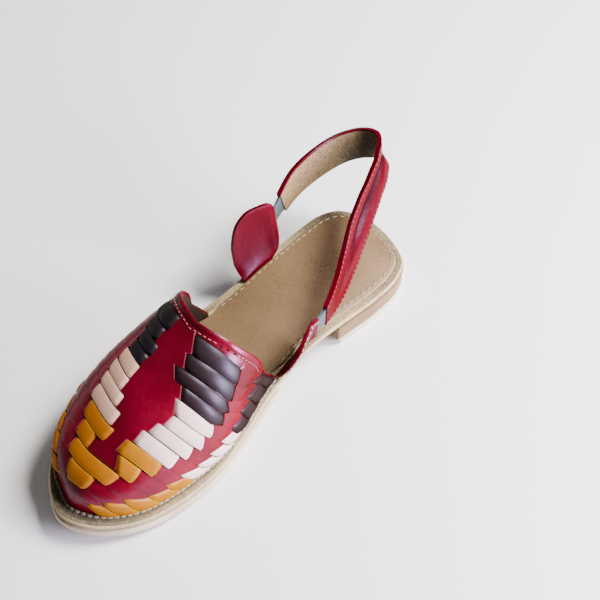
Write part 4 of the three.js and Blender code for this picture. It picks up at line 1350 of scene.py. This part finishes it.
def strap_sections(count, start, end):
    """Middle, direction to the upper edge, direction out and crease of the strap at shares of its length."""
    wanted = np.linspace(start, end, count) * STRAP_REACH[-1]
    middle = read_line(STRAP_LINE, STRAP_REACH, wanted)
    forward = unit(read_line(STRAP_AHEAD, STRAP_REACH, wanted))
    at = np.interp(wanted, STRAP_REACH, STRAP_ROWS)
    rows = {"share": np.linspace(0, 1, len(STRAP_PATH["lean"])), **STRAP_PATH}
    lean = read(rows, "share", "lean", at)
    upward = np.stack([0 * lean, lean, np.sqrt(1 - lean ** 2)], axis=1)
    upward = unit(upward - forward * (upward * forward).sum(axis=1)[:, None])
    return middle, upward, np.cross(upward, forward), read(rows, "share", "crease", at)


def strap_grid(width, offset, pad=0.0, groove=0.0):
    """A grid of points across the strap, at an offset out of its middle surface, with the direction out and the
    painted shade along the crease's valley. pad raises a ridge on each side of the crease, and groove deepens it."""
    middle, upward, out, fold = strap_sections(170, ELASTIC_SHARE, 1 - ELASTIC_SHARE)
    across = np.linspace(-0.5, 0.5, 17)[:, None]
    spread = np.abs(across)
    depth = CREASE_DEPTH * fold * (1 - smoothstep(spread, 0.05, 0.5))
    ridge = np.exp(-((spread - 0.23) / 0.13) ** 2) * (0.35 + 0.65 * fold)
    valley = (1 - smoothstep(spread, 0.0, 0.13)) * fold
    shade = (1 - smoothstep(spread, 0.03, 0.2)) * fold
    lift = offset - depth + pad * ridge - groove * valley
    return middle + across[..., None] * width * upward + lift[..., None] * out, out, shade


def strap_wall(name, face, back, painted):
    """A wall between two grids across the strap, with painted values for both of its faces."""
    face, back = face.transpose(1, 0, 2), back.transpose(1, 0, 2)
    wall = wall_from_grids(name, face, back)
    paint_from_grid(wall, np.concatenate([face, back]), painted)
    smooth(wall, 45)
    return wall


class SANDAL_OT_strap(bpy.types.Operator):
    """Makes the lined heel strap and its two rows of stitches"""
    bl_idname = "sandal.strap"
    bl_label = "Heel Strap"
    bl_options = {"REGISTER", "UNDO"}

    def execute(self, context):
        half = STRAP_THICKNESS / 2
        face, out, shade = strap_grid(STRAP_WIDTH, half, pad=0.6, groove=1.1)
        back = strap_grid(STRAP_WIDTH, 0.0)[0]
        # The leather goes over the upper edge, so it is as thick as the strap there
        back[-2:] = strap_grid(STRAP_WIDTH, -half)[0][-2:]
        # Painted shade along the crease's valley on the strap's face
        slit = np.concatenate([shade.T * 0.9, shade.T * 0])
        leather = strap_wall("strap_leather", face, back, {"slit": slit, "cut": slit * 0})
        red = waxed_leather("strap leather", scaled(colours().leather, 0.5), colours().leather_deep, 0.15)
        finish_piece(leather, red, ["heel_strap"])

        under, inside = (strap_grid(STRAP_WIDTH - 0.3, offset)[0][:-1] for offset in (-0.05, -half))
        rows, count = inside.shape[:2]
        # Painted shade on the lining: light near its front end, darker from there toward the bend and beyond, and
        # darker toward one edge
        dark = smoothstep(np.linspace(0, 1, count), 0.06, 0.42)[:, None] * np.linspace(1.0, 0.75, rows)
        dark = np.clip(dark + 0.35 * np.linspace(1, 0, rows), 0, 1)
        lining = strap_wall("strap_lining", under, inside, {"soil": np.concatenate([dark, dark])})
        finish_piece(lining, darkened_leather("strap lining", colours().lining), ["heel_strap"])

        rng = np.random.default_rng(sizes().seed + 3)
        seams = [stitch_run("strap_row", face[edge] + out * 0.02, out, "strap", rng) for edge in (1, -2)]
        finish_piece(join(seams, "strap_stitches"), thread_material("strap thread"))
        return {"FINISHED"}


# The side tabs

TAB_LINES, TAB_ROWS = 40, 14
TAB_THICKNESS = 2.2
TAB_BOW = 0.06
SEAM_MARGIN = 2.4
SEAM_LIFT = 1.15
PANEL_LIFT = 1.25


def tab_middles(table, side, flare, end):
    """The middle surface of a side tab, from its front to the elastic, as lines from foot to head, with the
    directions out and which lines stand on the sole."""
    sign = 1 if side == "medial" else -1
    edge = line_inside(0)["across"]
    middle, upward, out = (values[end] for values in strap_sections(2, 0, 1)[:3])
    feet, heads = [], []
    for foot, foot_rise, head, head_rise, outward in zip(*table.values()):
        foot_x, head_x = foot * SOLE_LENGTH, head * SOLE_LENGTH
        setback = TAB_SETBACK * (1 - foot_rise)
        feet.append((foot_x, float(edge(side, foot_x)) - sign * setback,
                     float(upper_foot(foot_x)) + foot_rise * TAB_HEIGHT))
        heads.append((head_x, float(edge(side, head_x)) + sign * outward * flare,
                      float(upper_foot(head_x)) + head_rise * TAB_HEIGHT))
    feet.append(tuple(middle - upward * STRAP_WIDTH / 2))
    heads.append(tuple(middle + upward * STRAP_WIDTH / 2))
    share = np.linspace(0, 1, TAB_LINES)[:, None]
    rise = np.linspace(0, 1, TAB_ROWS)
    foot, head = (read_line(line, np.linspace(0, 1, len(line)), share[:, 0])
                  for line in (smooth_curve(ends, closed=False)[0] for ends in (feet, heads)))
    grid = foot[:, None] + (head - foot)[:, None] * rise[:, None]
    height = np.linalg.norm(head - foot, axis=1)[:, None]
    grid[..., 1] += sign * TAB_BOW * (1 - share) * height * np.sin(math.pi * rise)
    normal = unit(np.cross(np.gradient(grid, axis=0), np.gradient(grid, axis=1)))
    normal *= np.sign(normal[..., 1] * sign)[..., None]
    normal[-1] = out
    stands = grid[:, 0, 2] - upper_foot(grid[:, 0, 0]) < GAP
    normal[stands, 0, 2] = 0
    return grid, unit(normal), stands


def tab_seam(grid, normal, offset):
    """A line inside a tab's free edge: up its front and over its head to the elastic."""
    lines, rows = grid.shape[:2]

    def at(u, v, values):
        i, j = min(int(u), lines - 2), min(int(v), rows - 2)
        near, far = (blend(values[line, j], values[line, j + 1], v - j) for line in (i, i + 1))
        return blend(near, far, u - i)

    u_in = SEAM_MARGIN * (lines - 1) / np.linalg.norm(grid[0, 0] - grid[-1, 0])
    places = [(u_in, v) for v in np.linspace(0.8, rows - 2.4, 30)]
    for u in np.linspace(u_in, lines - 1, 90):
        line = grid[min(int(u), lines - 1)]
        height = max(np.linalg.norm(line[-1] - line[0]), 6)
        places.append((u, (rows - 1) * (1 - SEAM_MARGIN / height)))
    return tuple(np.array([at(u, v, values) for u, v in places]) for values in (grid + normal * offset, normal))


def elastic_web(name, side):
    """A short elastic between a tab and the strap, tucked under the leather at both ends."""
    start, end = (0, ELASTIC_SHARE) if side == "lateral" else (1 - ELASTIC_SHARE, 1)
    middle, upward, out = strap_sections(12, start, end)[:3]
    ahead = unit(np.gradient(middle, axis=0))
    middle = np.vstack([middle[:1] - ahead[:1] * WEB_TUCK, middle, middle[-1:] + ahead[-1:] * WEB_TUCK])
    upward, out = (np.vstack([lines[:1], lines, lines[-1:]])[:, None] for lines in (upward, out))
    sheet = middle[:, None] + np.linspace(-0.5, 0.5, 8)[:, None] * ELASTIC_WIDTH * upward
    web = wall_from_grids(name, sheet + out * WEB_THICKNESS / 2, sheet - out * WEB_THICKNESS / 2)
    smooth(web, 45)
    return web


class SANDAL_OT_tabs(bpy.types.Operator):
    """Makes the two side tabs with their seams, and the elastic pieces"""
    bl_idname = "sandal.tabs"
    bl_label = "Side Tabs"
    bl_options = {"REGISTER", "UNDO"}

    def execute(self, context):
        rng = np.random.default_rng(sizes().seed + 4)
        red = waxed_leather("tab leather", scaled(colours().leather, 0.7), colours().leather_deep, 0.2, seam=False)
        # The slate colour is near-black elastic with a painted bluish sheen
        slate = elastic_material("slate elastic", SHEENED_SLATE)
        thread = thread_material("tab thread")
        for side, table, flare, end in (("lateral", LATERAL_TAB, LATERAL_TAB_FLARE, 0),
                                        ("medial", MEDIAL_TAB, MEDIAL_TAB_FLARE, 1)):
            node = "side_tab_" + side
            grid, normal, stands = tab_middles(table, side, flare, end)
            faces = [grid + normal * offset for offset in (TAB_THICKNESS / 2, -TAB_THICKNESS / 2)]
            for face in faces:
                face[stands, 0, 2] = upper_foot(face[stands, 0, 0])
            tab = wall_from_grids(node + "_leather", *faces)
            modify(tab, "BEVEL", width=0.0005, segments=2, angle_limit=math.radians(50))
            smooth(tab, 45)
            finish_piece(tab, red, [node])
            row = stitch_run(node + "_stitches", *tab_seam(grid, normal, SEAM_LIFT), "tab", rng)
            finish_piece(row, thread)
            if side == "medial":
                panel = sheet_from_grid(node + "_panel", (grid + normal * PANEL_LIFT)[5:-6, 2:-3])
                modify(panel, "SOLIDIFY", thickness=0.0005, offset=0)
                smooth(panel, 45)
                finish_piece(panel, slate)
            elastic = elastic_web("elastic_" + side + "_web", side)
            finish_piece(elastic, slate, ["elastic_" + side])
        return {"FINISHED"}


# The stage

# Turn round the shoe, height over it and roll of the camera, in degrees
CAMERA_ANGLES = (141.77, 57.32, -3.12)
CAMERA_TARGET = (125.0, 5.0, 10.0)
CAMERA_DISTANCE = 0.5212
CAMERA_LENS = 57.0
CAMERA_SENSOR = 36
CAMERA_SHIFT = (71.5 / 600, 60.2 / 600)
LIGHT_TARGET = (0.03, 0.0, 0.03)
LIGHTS = (
    ("window", (-0.30, 0.62, 0.17), 0.3, 20, (0.86, 0.80, 1.0)),
    ("back softbox", (-0.72, 0.3, 0.95), 0.5, 46, (1.0, 0.97, 0.93)),
)


def area_light(name, place, size, power, colour):
    """A soft square light that faces the shoe, in metres."""
    data = bpy.data.lights.new(name, "AREA")
    data.shape = "SQUARE"
    data.size = size
    data.energy = power
    data.color = colour
    light = bpy.data.objects.new(name, data)
    bpy.context.collection.objects.link(light)
    light.location = place
    light.rotation_euler = (Vector(LIGHT_TARGET) - Vector(place)).to_track_quat("-Z", "Y").to_euler()


def camera_matrix():
    """Place and turn of the camera."""
    azimuth, elevation, roll = (math.radians(angle) for angle in CAMERA_ANGLES)
    back = Vector((math.sin(azimuth) * math.cos(elevation), -math.cos(azimuth) * math.cos(elevation),
                   math.sin(elevation)))
    level = Vector((0, 0, 1)).cross(back).normalized()
    rise = back.cross(level)
    right = level * math.cos(roll) + rise * math.sin(roll)
    up = rise * math.cos(roll) - level * math.sin(roll)
    matrix = Matrix((right, up, back)).transposed().to_4x4()
    matrix.translation = Vector(to_frame(CAMERA_TARGET)) + back * CAMERA_DISTANCE
    return matrix


class SANDAL_OT_stage(bpy.types.Operator):
    """Sets the pale floor, the soft lights and the camera"""
    bl_idname = "sandal.stage"
    bl_label = "Stage"
    bl_options = {"REGISTER", "UNDO"}

    def execute(self, context):
        deselect()
        bpy.ops.mesh.primitive_plane_add(size=8, location=(0, 0, -0.0002))
        floor = context.object
        floor.name = "floor"
        floor.data.materials.append(Look("pale floor").finish((0.95, 0.95, 0.95, 1), 0.9))
        world = bpy.data.worlds.new("soft room")
        context.scene.world = world
        world.use_nodes = True
        world.node_tree.nodes["Background"].inputs["Color"].default_value = (0.93, 0.95, 1.0, 1)
        world.node_tree.nodes["Background"].inputs["Strength"].default_value = 0.14
        for light in LIGHTS:
            area_light(*light)
        camera_data = bpy.data.cameras.new("camera")
        camera = bpy.data.objects.new("camera", camera_data)
        context.collection.objects.link(camera)
        camera.matrix_world = camera_matrix()
        camera_data.sensor_width = CAMERA_SENSOR
        camera_data.lens = CAMERA_LENS
        camera_data.shift_x, camera_data.shift_y = CAMERA_SHIFT
        camera_data.clip_start = 0.01
        context.scene.camera = camera
        return {"FINISHED"}


class SANDAL_PT_panel(bpy.types.Panel):
    bl_label = "Huarache Sandal"
    bl_idname = "SANDAL_PT_panel"
    bl_space_type = "VIEW_3D"
    bl_region_type = "UI"
    bl_category = "Sandal"

    def draw(self, context):
        for name in SandalSizes.__annotations__:
            self.layout.prop(context.scene.sandal_sizes, name)
        for name in SandalColours.__annotations__:
            self.layout.prop(context.scene.sandal_colours, name)
        for operator in OPERATORS:
            self.layout.operator(operator.bl_idname)


OPERATORS = (
    SANDAL_OT_sole,
    SANDAL_OT_sole_seams,
    SANDAL_OT_upper,
    SANDAL_OT_strips,
    SANDAL_OT_throat_seam,
    SANDAL_OT_strap,
    SANDAL_OT_tabs,
    SANDAL_OT_stage,
)
CLASSES = (SandalSizes, SandalColours, *OPERATORS, SANDAL_PT_panel)


def register():
    for cls in CLASSES:
        bpy.utils.register_class(cls)
    bpy.types.Scene.sandal_sizes = PointerProperty(type=SandalSizes)
    bpy.types.Scene.sandal_colours = PointerProperty(type=SandalColours)


def unregister():
    del bpy.types.Scene.sandal_colours
    del bpy.types.Scene.sandal_sizes
    for cls in reversed(CLASSES):
        bpy.utils.unregister_class(cls)


def main():
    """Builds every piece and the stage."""
    register()
    bpy.ops.sandal.sole()
    bpy.ops.sandal.sole_seams()
    bpy.ops.sandal.upper()
    bpy.ops.sandal.strips()
    bpy.ops.sandal.throat_seam()
    bpy.ops.sandal.strap()
    bpy.ops.sandal.tabs()
    bpy.ops.sandal.stage()
    deselect()


if __name__ == "__main__":
    main()
